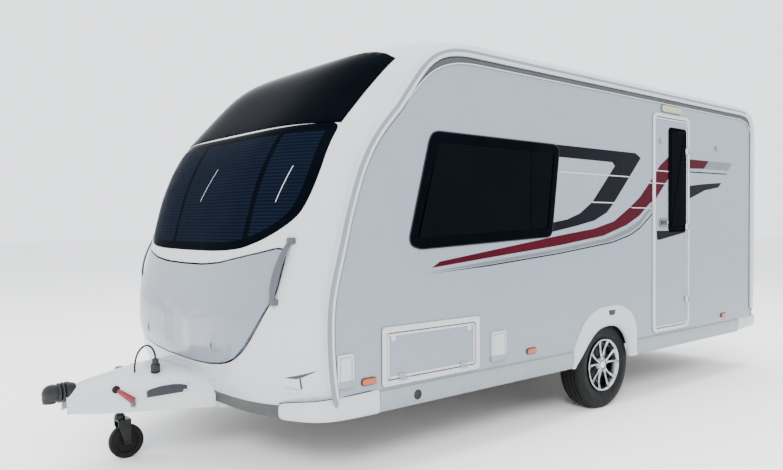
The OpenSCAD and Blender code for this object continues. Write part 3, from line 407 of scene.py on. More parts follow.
def smooth(points, n=6):
    """A Catmull-Rom curve through points of any size."""
    pts = [np.array(p, float) for p in points]
    out = []
    last = len(pts) - 1
    for i in range(last):
        p = [pts[min(max(i + k, 0), last)] for k in (-1, 0, 1, 2)]
        for q in range(n):
            t = q / n
            out.append(0.5 * (2 * p[1] + (p[2] - p[0]) * t + (2 * p[0] - 5 * p[1] + 4 * p[2] - p[3]) * t * t
                              + (3 * p[1] - p[0] - 3 * p[2] + p[3]) * t ** 3))
    out.append(pts[-1])
    return [tuple(v) for v in out]


def brick(name, lo, hi, mat, body="caravan", r=0.004, **k):
    """A block with soft edges between two corners."""
    (a, b, c), (d, e, f) = lo, hi
    verts = [(x, y, z) for x in (a, d) for y in (b, e) for z in (c, f)]
    faces = [(0, 1, 3, 2), (4, 6, 7, 5), (0, 4, 5, 1), (2, 3, 7, 6), (0, 2, 6, 4), (1, 5, 7, 3)]
    return add(name, verts, faces, mat, body, closed=True, bevel=r, segments=3, **k)


# ---------------------------------------------------------------- the parked lead
# Its points are those of its CAD tube.
LEAD = [(165, 568, 629), (164, 566, 652), (160, 558, 678), (152, 546, 697), (140, 530, 704), (126, 514, 697),
        (112, 498, 677), (102, 486, 648), (96, 479, 614), (94, 476, 578), (94, 476, 540), (94, 478, 505)]
lead_path = [(x / 1000, NOSE + y / 1000, z / 1000) for x, y, z in smooth(LEAD[::-1], 6)]
LEAD_D = 0.011
lead = tube("tow_lead_flex", lead_path, LEAD_D / 2, SEAL, n=12)
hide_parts("tow_lead")


# ---------------------------------------------------------------- the moulded shell
# The shell's profile at its side edges, from the front's lower edge over the roof to the rear's lower
# edge: y, z and how far the middle stands out along y and along z, in millimetres.
ROWS = np.array([[-2462, 372, -295, 0], [-2478, 440, -312, 0], [-2494, 500, -320, 0],
                 [-2506, 570, -326, 0], [-2512, 640, -330, 0], [-2517, 740, -332, 0],
                 [-2520, 840, -333, 0], [-2516, 930, -333, 0], [-2507, 1010, -333, 0],
                 [-2495, 1070, -332, 0], [-2479, 1130, -332, 0], [-2460, 1200, -331, 0],
                 [-2437, 1280, -330, 0], [-2409, 1390, -329, 0], [-2379, 1510, -328, 0],
                 [-2353, 1590, -327, 0], [-2322, 1670, -326, 0], [-2282, 1760, -324, 0],
                 [-2233, 1850, -320, 0], [-2170, 1940, -314, 0], [-2110, 2012, -308, 0],
                 [-2050, 2084, -300, 0], [-1990, 2155, -290, 3], [-1932, 2225, -276, 8],
                 [-1876, 2290, -258, 14], [-1815, 2350, -235, 22], [-1745, 2400, -205, 32],
                 [-1665, 2436, -168, 42], [-1575, 2458, -125, 51], [-1480, 2466, -80, 57],
                 [-1370, 2467, -35, 60], [-1250, 2467, 0, 60], [1800, 2467, 0, 60], [2060, 2467, 0, 60],
                 [2200, 2463, 8, 56], [2300, 2450, 16, 48], [2375, 2426, 24, 38], [2425, 2392, 31, 28],
                 [2455, 2345, 36, 18], [2470, 2290, 39, 9], [2476, 2220, 40, 0], [2480, 2000, 40, 0],
                 [2480, 1600, 40, 0], [2480, 1200, 40, 0], [2472, 900, 38, 0], [2462, 700, 35, 0],
                 [2448, 540, 32, 0], [2432, 440, 30, 0], [2420, 385, 28, 0]], float) / 1000
ROUND = 5    # how late the skin falls away towards the sides
arc = np.concatenate([[0], np.cumsum(np.hypot(*np.diff(ROWS[:, :2], axis=0).T))])
STEP = 0.008
S = np.arange(0, arc[-1], STEP)
dense = np.stack([np.interp(S, arc, ROWS[:, k]) for k in range(4)], 1)
REACH = 14
kernel = np.exp(-0.5 * (np.arange(-REACH, REACH + 1) / 4.5) ** 2)
kernel /= kernel.sum()
padded = np.concatenate([2 * dense[0] - dense[REACH:0:-1], dense, 2 * dense[-1] - dense[-2:-REACH - 2:-1]])
PROFILE = np.stack([np.convolve(padded[:, k], kernel, "valid") for k in range(4)], 1)


def skin(x, s, out=0.0):
    """Points of the moulded skin at x and s along the profile, moved outwards by out."""
    x, s = np.asarray(x, float), np.asarray(s, float)

    def at(xx, ss):
        y, z, by, bz = (np.interp(ss, S, PROFILE[:, k]) for k in range(4))
        full = 1 - np.clip(np.abs(xx) / SHELL_X, 0, 1) ** ROUND
        return np.stack([xx, y + by * full, z + bz * full], -1)

    p = at(x, s)
    if np.any(out):
        e = 0.004
        across = at(np.minimum(x + e, SHELL_X), s) - at(np.maximum(x - e, -SHELL_X), s)
        n = np.cross(at(x, s + e) - at(x, s - e), across)
        n /= -np.linalg.norm(n, axis=-1, keepdims=True)
        p = p + n * np.asarray(out)[..., None]
    return p


def s_of_z(x, z):
    """Where the front skin reaches height z at x."""
    top = int(np.searchsorted(S, arc[31]))
    full = 1 - min(1, abs(x) / SHELL_X) ** ROUND
    return float(np.interp(z, np.maximum.accumulate(PROFILE[:top, 1] + PROFILE[:top, 3] * full), S[:top]))


def s_of_y(x, y):
    """Where the upper front skin reaches y at x."""
    low, top = int(np.searchsorted(S, arc[8])), int(np.searchsorted(S, arc[33]))
    full = 1 - min(1, abs(x) / SHELL_X) ** ROUND
    return float(np.interp(y, np.maximum.accumulate(PROFILE[low:top, 0] + PROFILE[low:top, 2] * full),
                           S[low:top]))


def resample(loop, step):
    """Closed outline with points no further apart than step; corners stay."""
    out = []
    for i, a in enumerate(loop):
        b = loop[(i + 1) % len(loop)]
        n = max(1, int(math.dist(a, b) / step))
        out += [(a[0] + (b[0] - a[0]) * q / n, a[1] + (b[1] - a[1]) * q / n) for q in range(n)]
    return out


def inside(points, loop):
    """Even-odd test of points against a closed outline."""
    x, y = points[:, 0], points[:, 1]
    hit = np.zeros(len(points), bool)
    for i, (x1, y1) in enumerate(loop):
        x0, y0 = loop[i - 1]
        if y0 == y1:
            continue
        hit ^= ((y0 > y) != (y1 > y)) & (x < (x1 - x0) * (y - y0) / (y1 - y0) + x0)
    return hit


def away(points, loop, d):
    """Which points lie further than d from the outline's own points."""
    loop = np.array(loop)
    keep = np.ones(len(points), bool)
    for a in range(0, len(points), 4000):
        part = points[a:a + 4000, None]
        gaps = np.hypot(part[..., 0] - loop[:, 0], part[..., 1] - loop[:, 1])
        keep[a:a + 4000] = gaps.min(axis=1) > d
    return keep


def patch(name, outer, holes, mat, body="caravan", step=0.03, out=0.002, thick=0.012, relief=None,
          edge=0.014, **k):
    """A piece of the moulded skin inside an outline of (x, s), with holes and a thickness."""
    loops = [resample(loop, edge) for loop in [outer] + holes]
    first = np.array(loops[0])
    gx = np.arange(first[:, 0].min(), first[:, 0].max(), step)
    gs = np.arange(first[:, 1].min(), first[:, 1].max(), step)
    cloud = np.stack(np.meshgrid(gx, gs), -1).reshape(-1, 2)
    cloud = cloud[inside(cloud, loops[0])]
    for hole in loops[1:]:
        cloud = cloud[~inside(cloud, hole)]
    for loop in loops:
        cloud = cloud[away(cloud, loop, step * 0.45)]
    pts, edges = [], []
    for loop in loops:
        n0 = len(pts)
        pts += [Vector(p) for p in loop]
        edges += [(n0 + i, n0 + (i + 1) % len(loop)) for i in range(len(loop))]
    pts += [Vector(p) for p in cloud]
    verts, _, tris, *_ = geometry.delaunay_2d_cdt(pts, edges, [], 0, 1e-6)
    flat = np.array([tuple(v) for v in verts])
    tri = np.array([t for t in tris if len(t) == 3])
    mid = flat[tri].mean(axis=1)
    keep = inside(mid, loops[0])
    for hole in loops[1:]:
        keep &= ~inside(mid, hole)
    tri = tri[keep]
    lift = out + (relief(flat[:, 0], skin(flat[:, 0], flat[:, 1])[:, 2]) if relief else 0)
    face = skin(flat[:, 0], flat[:, 1], lift * np.ones(len(flat)))
    a, b, c = face[tri[:, 0]], face[tri[:, 1]], face[tri[:, 2]]
    mid = mid[keep]
    outward = skin(mid[:, 0], mid[:, 1], 0.01 * np.ones(len(mid))) - skin(mid[:, 0], mid[:, 1])
    wrong = np.einsum("ij,ij->i", np.cross(b - a, c - a), outward) < 0
    tri = np.where(wrong[:, None], tri[:, ::-1], tri)
    return add(name, face, [tuple(map(int, t)) for t in tri], mat, body, thick=thick, **k)


def both_halves(half):
    """A right-hand outline [x, z] in millimetres, from the bottom centre, closed by its mirror image."""
    pts = [(x / 1000, z / 1000) for x, z in half]
    return pts + [(-x, z) for x, z in reversed(pts) if x > 0]


def on_skin(outline):
    """[x, z] seen from the front, as (x, s)."""
    return [(x, s_of_z(x, z)) for x, z in outline]


WINDOW = both_halves([[0, 1234], [330, 1236], [500, 1243], [640, 1258], [780, 1307], [870, 1368],
                      [918, 1420], [942, 1470], [960, 1560], [966, 1680], [960, 1800], [955, 1938],
                      [700, 1934], [350, 1931], [0, 1930]])
LID = both_halves([[0, 600], [200, 602], [400, 614], [570, 640], [660, 672], [740, 735], [810, 836],
                   [865, 950], [893, 1010], [903, 1060], [905, 1215], [900, 1240], [885, 1252],
                   [860, 1254], [790, 1234], [640, 1203], [450, 1168], [250, 1152], [0, 1149]])


window_line = rounded(resample(WINDOW, 0.2), 0.05, 4)
lid_line = rounded(resample(LID, 0.2), 0.05, 4)
band_low = [(x, 1.944 - 0.010 * (x / 0.955) ** 2 + 0.004) for x in np.linspace(-0.955, 0.955, 25)]
band_loop = [(x, s_of_z(x, z)) for x, z in band_low]
band_loop += [(x, s_of_z(x, z)) for x, z in ((0.957, 2.13), (0.961, 2.21))]
band_loop += [(x, s_of_y(x, -1.945)) for x in np.linspace(0.968, -0.968, 25)]
band_loop += [(x, s_of_z(x, z)) for x, z in ((-0.961, 2.21), (-0.957, 2.13))]
opening_lid = on_skin(resample(inset(lid_line, -0.0105), 0.02))
opening_window = on_skin(resample(inset(window_line, -0.002), 0.02))
# places along the profile: lower front edge, start of the flat roof, start of the rear, its end
S0, S_ROOF, S_REAR, S_END = 0.075, float(arc[31]), float(arc[34]), float(arc[47])
cheek = 1.083


def full_width(s0, s1, n):
    """Outline of the skin from cheek to cheek between two places on the profile."""
    across = np.linspace(-cheek, cheek, 60)
    up = np.linspace(s0, s1, n)
    loop = [(x, s0) for x in across] + [(cheek, s) for s in up[1:]]
    return loop + [(x, s1) for x in across[::-1][1:]] + [(-cheek, s) for s in up[::-1][1:-1]]


front_loop = full_width(S0, S_ROOF, 160)
grown_band = [(x * 1.002, s + (0.003 if s > S0 + 2.2 else -0.003)) for x, s in band_loop]

front = patch("front_moulding", front_loop, [opening_lid, opening_window, grown_band], WHITE, step=0.022,
              out=0.001, thick=0.022, bevel=0.003)
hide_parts("front_panel")


def lid_relief(x, z):
    """Two creases sweep up from the lid's middle, with a soft crown between them."""
    ax = np.abs(x)
    upper = 0.868 + 0.42 * np.maximum(ax - 0.17, 0)
    lower = 0.852 + 0.115 * np.maximum(ax - 0.17, 0)
    ridge = 0.012 * np.clip((upper - z) / (upper - lower), 0, 1) * np.clip((ax - 0.06) / 0.12, 0, 1)
    edge = np.clip((0.90 - ax) / 0.10, 0, 1) * np.clip((z - 0.62) / 0.08, 0, 1)
    boss = 0.004 * np.clip(1 - np.hypot(x / 0.16, (z - 0.885) / 0.11), 0, 1) ** 0.5
    return ridge * edge + boss


# The lid wears the darker white of painted shade.
patch("gas_locker_lid_skin", on_skin(resample(lid_line, 0.02)), [], LID_SHADED_WHITE, "gas_locker_lid",
      step=0.013, out=0.0012, thick=0.0035, bevel=0.0015, relief=lid_relief)

pane = patch("front_window_pane", on_skin(resample(window_line, 0.02)), [], GLASS, step=0.03, out=0.002,
             thick=0.009, bevel=0.003)
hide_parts("front_window")
sky = patch("sky_window_pane", band_loop, [], GLASS, step=0.03, out=0.005, thick=0.012, bevel=0.004)
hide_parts("sky_window")

# ---------------------------------------------------------------- roof and rear
SKINS = (("roof_skin", S_ROOF, S_REAR, "roof_panel"), ("rear_skin", S_REAR, S_END, "rear_panel"))
for name, s0, s1, node in SKINS:
    loop = full_width(s0, s1, 90)
    if node == "roof_panel":
        holes = [[(x, float(np.interp(y, PROFILE[300:900, 0], S[300:900])))
                  for x, y in ((-0.244, -0.644), (0.244, -0.644), (0.244, -0.156), (-0.244, -0.156))]]
    else:
        low, high = (float(np.interp(-z, -PROFILE[850:, 1], S[850:])) for z in (1.40, 1.90))
        holes = [rounded([(-0.47, high), (0.47, high), (0.47, low), (-0.47, low)], 0.05)]
    ob = patch(name, loop, holes, WHITE, step=0.05 if node == "roof_panel" else 0.03, out=0.001,
               thick=0.022, bevel=0.002)
    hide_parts(node)


# ---------------------------------------------------------------- edge trims
# Each runs over the shell edge and round to a line on the wall. TRIM_LINE is that line, and WALL_LINE is
# where the wall panel ends under the recessed channel: (y, z) in millimetres.
TRIM_LINE = [(-2458, 440), (-2469, 500), (-2485, 620), (-2493, 740), (-2495, 840), (-2492, 930),
             (-2483, 1010), (-2454, 1125), (-2412, 1280), (-2382, 1400), (-2348, 1510), (-2300, 1650),
             (-2235, 1780), (-2172, 1870), (-2100, 1950), (-2040, 2010), (-1950, 2130), (-1884, 2215),
             (-1824, 2282), (-1750, 2336), (-1670, 2366), (-1590, 2381), (-1500, 2387), (2150, 2387),
             (2235, 2379), (2300, 2352), (2330, 2310), (2336, 2250), (2336, 440)]
WALL_LINE = [(-2040, 2010), (-1920, 2137), (-1862, 2200), (-1800, 2250), (-1722, 2292), (-1650, 2316),
             (-1570, 2331), (-1480, 2338), (2140, 2338), (2220, 2330), (2285, 2305), (2322, 2265),
             (2336, 2210)]


def even_line(points, step, reach):
    """A polyline at even steps with its corners eased."""
    p = np.array(points, float) / 1000
    d = np.concatenate([[0], np.cumsum(np.hypot(*np.diff(p, axis=0).T))])
    t = np.arange(0, d[-1], step)
    q = np.stack([np.interp(t, d, p[:, k]) for k in range(2)], 1)
    w = np.exp(-0.5 * (np.arange(-3 * reach, 3 * reach + 1) / reach) ** 2)
    w /= w.sum()
    n = 3 * reach
    q = np.concatenate([2 * q[0] - q[n:0:-1], q, 2 * q[-1] - q[-2:-n - 2:-1]])
    return np.stack([np.convolve(q[:, k], w, "valid") for k in range(2)], 1)


trim_in = even_line(TRIM_LINE, 0.012, 3)
lo_s, hi_s = arc[1], arc[46]
stations = np.linspace(lo_s, hi_s, 420)
edge_pts = np.stack([np.interp(stations, S, PROFILE[:, 0]), np.interp(stations, S, PROFILE[:, 1])], 1)
match = [int(np.argmin(np.hypot(*(trim_in - p).T))) for p in edge_pts]
match = np.maximum.accumulate(match)
match = np.convolve(np.pad(match, 6, "edge"), np.ones(13) / 13, "valid")
inner_pts = np.stack([np.interp(match, np.arange(len(trim_in)), trim_in[:, k]) for k in range(2)], 1)


def cheek_slope(s):
    """How the skin leaves the side at its edge: (inward along the side, along x)."""
    a, b = skin(SHELL_X - 0.012, s), skin(SHELL_X - 0.0005, s)
    d = b - a
    return d / np.linalg.norm(d)


def bezier(p0, p1, p2, p3, n):
    """n points along a cubic curve."""
    t = np.linspace(0, 1, n)[:, None]
    return (1 - t) ** 3 * p0 + 3 * t * (1 - t) ** 2 * p1 + 3 * t * t * (1 - t) * p2 + t ** 3 * p3


for side, tag in SIDES:
    rows = []
    for s, o, i in zip(stations, edge_pts, inner_pts):
        p0 = skin(SHELL_X - 0.004, s)
        d = cheek_slope(s)
        p3 = np.array([1.129, i[0], i[1]])
        inward = np.array([0, i[0] - o[0], i[1] - o[1]])
        gap = np.linalg.norm(inward) + 1e-6
        inward /= gap
        from_skin = p0 + d * min(0.03, gap * 0.6)
        to_wall = p3 - inward * gap * 0.55 + (0.001, 0, 0)
        top = bezier(p0, from_skin, to_wall, p3, 10)
        foot = [p3 + inward * 0.006 - (0.003, 0, 0), p3 + inward * 0.008 - (0.016, 0, 0)]
        back = [np.array([1.092, o[0], o[1]]) + inward * gap * 0.5, p0 + inward * 0.012 - (0.012, 0, 0)]
        rows.append([(side * v[0], v[1], v[2]) for v in [*top, *foot, *back]])
    trim = loft("edge_trim_" + tag, rows, TRIM)
    if side > 0:
        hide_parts("edge_trims")

# the recessed channel between wall and roof trim, dark with painted shade, and its bright lip
wall_top = even_line(WALL_LINE, 0.02, 3)
for side, tag in SIDES:
    near = [int(np.argmin(np.hypot(*(trim_in - p).T))) for p in wall_top]
    low = [tuple(p) for p in wall_top]
    high = [tuple(trim_in[k]) for k in near]
    rows = []
    for a, b in zip(low, high):
        corners = ((1.1155, a), (1.1180, a), (1.1180, b), (1.1155, b))
        rows.append([(side * x, *p) for x, p in corners])
    loft("awning_channel_shade_" + tag, rows, RECESS_SHADE)
    rail = [(side * 1.1195, p[0], p[1] + 0.004) for p in wall_top]
    tube("awning_rail_" + tag, rail, 0.0045, TRIM, n=8)

# ---------------------------------------------------------------- side decals, clipped to wall and door
DOOR = (0.618, 1.130)
# name, finish, outline of (y, z), height over the wall
DECALS = [
    ("maroon_stripe", MAROON, [(-1.802, 1.131), (-1.738, 1.165), (-1.171, 1.233), (-0.622, 1.299),
                               (-0.204, 1.344), (0.046, 1.396), (0.263, 1.504), (0.403, 1.584),
                               (0.557, 1.712), (0.628, 1.781), (0.698, 1.843), (0.826, 1.917),
                               (0.838, 1.9175), (0.838, 1.748), (0.827, 1.742), (0.629, 1.569),
                               (0.55, 1.54), (0.389, 1.437), (0.214, 1.368), (-0.092, 1.291),
                               (-0.622, 1.232), (-1.336, 1.172)], 0.0004),
    ("silver_line", SILVER_VINYL, [(-1.83, 1.107), (-1.336, 1.15), (-0.622, 1.21), (-0.05, 1.272),
                                   (0.24, 1.343), (0.4, 1.405), (0.56, 1.515), (0.578, 1.53),
                                   (0.578, 1.5), (0.55, 1.475), (0.4, 1.366), (0.25, 1.308), (0.0, 1.25),
                                   (-0.622, 1.187), (-1.336, 1.131)], 0.0003),
    ("thin_line", BLACK_VINYL, [(-1.82, 1.098), (-1.336, 1.1275), (-0.622, 1.181), (0.023, 1.245),
                                (0.263, 1.296), (0.404, 1.35), (0.549, 1.44), (0.578, 1.462),
                                (0.578, 1.45), (0.549, 1.428), (0.404, 1.339), (0.263, 1.286),
                                (0.023, 1.236), (-0.622, 1.173), (-1.336, 1.12)], 0.0005),
    ("window_tail_low", BLACK_VINYL,
     [(-0.705, 1.392), (-0.68, 1.39), (-0.521, 1.411), (-0.377, 1.453), (-0.226, 1.537), (0.057, 1.807),
      (0.022, 1.834), (-0.621, 1.836), (-0.628, 1.87), (-0.705, 1.918), (0.337, 1.92), (0.413, 1.887),
      (0.262, 1.742), (0.046, 1.535), (-0.047, 1.461), (-0.204, 1.402), (-0.419, 1.365), (-0.7, 1.324)],
     0.0004),
    ("rear_maroon", MAROON, [(1.166, 1.92), (1.511, 1.922), (1.428, 1.851), (1.166, 1.84)], 0.0004),
    ("rear_silver", SILVER_VINYL, [(1.516, 1.9225), (1.964, 1.926), (1.882, 1.854), (1.433, 1.8505)],
     0.0004),
    ("rear_thin", BLACK_VINYL, [(1.166, 1.818), (1.86, 1.826), (1.852, 1.817), (1.166, 1.808)], 0.0005),
    ("rear_swoosh", BLACK_VINYL, [(1.166, 1.694), (1.182, 1.696), (1.4, 1.716), (1.753, 1.74),
                                  (1.698, 1.697), (1.444, 1.664), (1.311, 1.625), (1.2, 1.594),
                                  (1.166, 1.583)], 0.0004),
    ("door_wedge", BLACK_VINYL, [(0.649, 1.32), (0.656, 1.25), (0.687, 1.246), (1.106, 1.302),
                                 (1.099, 1.316)], 0.0004),
    ("cut_a", WHITE_VINYL, [(-0.6, 1.731), (0.245, 1.731), (0.252, 1.738), (-0.6, 1.738)], 0.0008),
    ("cut_b", WHITE_VINYL, [(-0.235, 1.53), (0.04, 1.53), (0.049, 1.537), (-0.228, 1.537)], 0.0008),
    ("cut_c", WHITE_VINYL, [(0.3, 1.497), (0.26, 1.503), (0.6, 1.503), (0.6, 1.497)], 0.0008),
    ("cut_d", WHITE_VINYL, [(0.53, 1.697), (0.53, 1.703), (0.82, 1.703), (0.8, 1.697)], 0.0008),
    ("cut_e", WHITE_VINYL, [(0.62, 1.797), (0.62, 1.804), (0.838, 1.804), (0.838, 1.797)], 0.0008),
]
FIELDS = (("wall", -9, DOOR[0] - 0.037, "caravan"),
          ("door", DOOR[0] + 0.003, DOOR[1] - 0.003, "entrance_door"),
          ("back", DOOR[1] + 0.034, 9, "caravan"))
for name, mat, outline, lift in DECALS:
    for tag, low, high, body in FIELDS:
        part = between(outline, low, high)
        if len(part) < 3 or max(p[0] for p in part) - min(p[0] for p in part) < 0.004:
            continue
        plate(f"{name}_{tag}", part, 0.0002, 0.0005 + lift, mat, body)

# ---------------------------------------------------------------- nearside lounge window
NEAR = [(-1.971, 1.300), (-1.955, 1.262), (-1.890, 1.243), (-0.735, 1.294), (-0.705, 1.310), (-0.695, 1.345),
        (-0.622, 1.868), (-0.632, 1.895), (-0.668, 1.914), (-1.756, 1.916), (-1.796, 1.900), (-1.818, 1.860)]
near_line = rounded(NEAR, 0.02, 3)
lens = plate("lounge_window_pane", near_line, -0.012, 0.008, GLASS, bevel=0.004)
band("lounge_window_seal", inset(near_line, -0.006), inset(near_line, 0.006), -0.002, 0.0045, SEAL)
blind_area = inset(near_line, 0.062)
plate("lounge_blind_wide", clip(blind_area, 0, -0.93, -1), 0.007, 0.0086, DIM_BLIND)
plate("lounge_blind_narrow", clip(blind_area, 0, -0.915, 1), 0.007, 0.0086, DIM_BLIND)

# ---------------------------------------------------------------- far side windows and rear window
rear_line = rounded([(-0.467, 1.403), (0.467, 1.403), (0.467, 1.897), (-0.467, 1.897)], 0.05)
verts = [(x, y, z) for y in (2.4955, 2.5075) for x, z in rear_line]
n = len(rear_line)
add("rear_window_pane", verts,
    [tuple(range(n)), tuple(range(2 * n - 1, n - 1, -1))] + [(i, (i + 1) % n, n + (i + 1) % n, n + i)
                                        for i in range(n)], GLASS, closed=True, bevel=0.003)
FAR_WINDOWS = ((-1.8, -0.64, 1.29, 1.9), (0.06, 0.9, 1.42, 1.9), (1.65, 2.05, 1.42, 1.9))
for k, (y0, y1, z0, z1) in enumerate(FAR_WINDOWS):
    line = rounded_box(y0 + 0.001, y1 - 0.001, z0 + 0.001, z1 - 0.001, 0.06)
    plate(f"far_window_{k}", line, -0.02, 0.007, GLASS, side=-1, bevel=0.003)
    band(f"far_window_seal_{k}", inset(line, -0.007), inset(line, 0.005), 0.0005, 0.005, SEAL, side=-1)
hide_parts("side_windows")

# ---------------------------------------------------------------- entrance door
DZ = (0.540, 2.228)
leaf = rounded_box(DOOR[0], DOOR[1], *DZ, 0.03)
pane_line = rounded_box(0.842, 1.098, 1.322, 2.148, 0.025)
frame_out = rounded_box(DOOR[0] - 0.034, DOOR[1] + 0.034, DZ[0] - 0.034, DZ[1] + 0.034, 0.055)
frame_mid = rounded_box(DOOR[0] - 0.006, DOOR[1] + 0.006, DZ[0] - 0.006, DZ[1] + 0.006, 0.036)
band("door_frame_trim", frame_out, frame_mid, 0.0004, 0.0085, TRIM, bevel=0.003)
band("door_frame_line", inset(frame_out, -0.003), inset(frame_out, 0.002), 0.0002, 0.003, GREY)
band("door_edge_bead", inset(leaf, -0.0005), inset(leaf, 0.013), 0.0002, 0.0035, TRIM, "entrance_door",
     bevel=0.001)
band("door_pane_surround", inset(pane_line, -0.014), inset(pane_line, 0.004), 0.0003, 0.007, BORDER,
     "entrance_door", bevel=0.002)
door_pane = plate("door_pane", pane_line, -0.012, 0.005, GLASS, "entrance_door", bevel=0.002)
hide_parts("door_window")
plate("door_blind", inset(pane_line, 0.03), 0.0046, 0.0056, DIM_BLIND, "entrance_door")
for k, z in enumerate((0.72, 1.33, 1.96)):
    brick(f"door_hinge_cover_{k}", (WALL + 0.004, 1.098, z - 0.004), (WALL + 0.0145, 1.128, z + 0.044),
          TRIM, "entrance_door", r=0.003)
handle = plate("door_handle_plate", rounded_box(0.687, 0.816, 1.35, 1.42, 0.028), 0.0005, 0.008, GREY,
               "entrance_door", bevel=0.003)
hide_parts("door_handle")
plate("door_handle_lever", rounded_box(0.7, 0.782, 1.368, 1.402, 0.014), 0.006, 0.0145, DARK_GREY,
      "entrance_door", bevel=0.003)
lathe("door_lock", [(0.0005, 0), (0.008, 0), (0.01, 0.002), (0.01, -0.006), (0.0005, -0.006)],
      (WALL + 0.01, 0.8, 1.385), ALLOY, "entrance_door", n=24)
for tag, body, y in (("door", "entrance_door", 0.716), ("wall", "caravan", 1.664)):
    brick("door_retainer_" + tag, (WALL + 0.0005, y - 0.022, 2.022), (WALL + 0.0145, y + 0.022, 2.062),
          PALE_GREY, body, r=0.006)
lamp_line = rounded_box(0.715, 1.018, 2.278, 2.330, 0.024)
plate("awning_lamp_base", inset(lamp_line, -0.004), 0.0005, 0.008, GREY, bevel=0.002)
plate("awning_lamp_lens", lamp_line, 0.006, 0.0145, YELLOWED, bevel=0.005, segments=3)

# ---------------------------------------------------------------- locker door and service covers
hatch_out = rounded_box(-2.174, -1.411, 0.499, 0.823, 0.024)
hatch_mid = rounded_box(-2.1425, -1.4425, 0.5295, 0.7905, 0.02)
band("hatch_frame_trim", hatch_out, hatch_mid, 0.0004, 0.0095, TRIM, bevel=0.003)
band("hatch_frame_line", inset(hatch_out, -0.0025), inset(hatch_out, 0.003), 0.0002, 0.0035, GREY)
door_line = rounded_box(-2.136, -1.449, 0.536, 0.784, 0.016)
band("hatch_door_bead", inset(door_line, -0.0004), inset(door_line, 0.014), 0.0002, 0.004, TRIM,
     "locker_door", bevel=0.0012)
for k, y in enumerate((-2.09, -1.495)):
    lathe(f"hatch_lock_{k}", [(0.0005, 0.006), (0.013, 0.006), (0.017, 0.003), (0.018, 0), (0.0005, 0)],
          (WALL + 0.0004, y, 0.757), TRIM, "locker_door", n=28)
for k, (y0, y1, z0, z1) in enumerate(((-2.470, -2.366, 0.541, 0.709), (-1.305, -1.172, 0.530, 0.711))):
    line = rounded_box(y0, y1, z0, z1, 0.02)
    plate(f"service_cover_{k}", line, 0.0085, 0.0125, TRIM, bevel=0.003)
    lip = rounded_box(y0 - 0.004, y1 + 0.004, z0 - 0.006, z0 + 0.032, 0.01)
    plate(f"service_cover_lip_{k}", lip, 0.004, 0.0145, PALE_GREY, bevel=0.003)
    band(f"service_cover_line_{k}", inset(line, 0.014), inset(line, 0.017), 0.012, 0.0132, GREY)
for y in (-2.2645, -0.9153, 1.7932):
    for side, tag in SIDES:
        line = rounded_box(y - 0.047, y + 0.047, 0.5305, 0.5645, 0.0165)
        plate(f"marker_base_{tag}_{int(y * 10)}", inset(line, -0.004), 0.0005, 0.006, DARK_GREY,
              side=side, bevel=0.001, slot="black_plastic")
        ob = plate(f"marker_lens_{tag}_{int(y * 10)}", line, 0.005, 0.0145, AMBER, side=side, bevel=0.005,
                   segments=3)
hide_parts("side_lamps")

# ---------------------------------------------------------------- lines of the edge trims, and their groove grey with painted shade
for side, tag in SIDES:
    groove, seam = [], []
    for s, o, i in zip(stations, edge_pts, inner_pts):
        inward = np.array([0, i[0] - o[0], i[1] - o[1]])
        inward /= np.linalg.norm(inward) + 1e-6
        line = np.array([1.1158, i[0], i[1]]) + inward * 0.009
        bead_at = np.array([1.1290, i[0], i[1]]) - inward * 0.004
        groove.append([bead_at - inward * 0.0125 - (0.0006, 0, 0), bead_at - inward * 0.031 - (0.0035, 0, 0),
                       bead_at - inward * 0.031 - (0.009, 0, 0), bead_at - inward * 0.0125 - (0.006, 0, 0)])
        line_in = line + inward * 0.0055
        seam.append([line, line_in, line_in + (0.0025, 0, 0), line + (0.0025, 0, 0)])
    for name, rows, mat in (("trim_groove_", groove, GROOVE_SHADE), ("trim_seam_", seam, SEAL)):
        rows = [[(side * p[0], p[1], p[2]) for p in row] for row in rows]
        loft(name + tag, rows, mat)


# ---------------------------------------------------------------- blinds and cords of the front window
def strip(name, outline, mat, out=0.0034, step=0.03, thick=0.001, body="caravan", edge=0.02, slot=None):
    """A thin piece lying on the moulded skin, from an outline seen from the front."""
    patch(name, on_skin(resample(outline, 0.03)), [], mat, body, step, out, thick, edge=edge, slot=slot)


blind_line = inset(window_line, 0.045)
for k, (a, b) in enumerate(((-2, -0.262), (-0.222, 0.620), (0.662, 2))):
    strip(f"front_blind_{k}", between(blind_line, a, b), BLIND)
for k, (a, b) in enumerate((((0.010, 1.525), (0.100, 1.719)), ((0.800, 1.502), (0.835, 1.697)))):
    w = 0.0018
    cord_line = [(a[0] - w, a[1]), (a[0] + w, a[1]), (b[0] + w, b[1]), (b[0] - w, b[1])]
    strip(f"blind_cord_{k}", cord_line, WHITE_VINYL, out=0.0046, step=0.05, slot="blind_cloth")

# ---------------------------------------------------------------- lid locks, step in the lower corners with painted shade in its recess
# The step's shade and its inner wall are dark pieces of painted shade; its ledge is trim.
STEP_SHADE = [(0.940, 0.596), (0.985, 0.590), (1.010, 0.600), (1.060, 0.634), (1.000, 0.612)]
STEP_WALL_SHADE = [(0.996, 0.538), (1.003, 0.538), (1.003, 0.594), (0.996, 0.594)]
STEP_LEDGE = [(0.925, 0.524), (0.990, 0.516), (0.992, 0.534), (0.930, 0.544)]


def lock_oval(side, wide, high, n):
    """An oval of n points round the middle of a lid lock."""
    turns = np.linspace(0, 2 * math.pi, n + 1)[:-1]
    return [(side * (0.468 + wide * math.cos(a)), 0.719 + high * math.sin(a)) for a in turns]


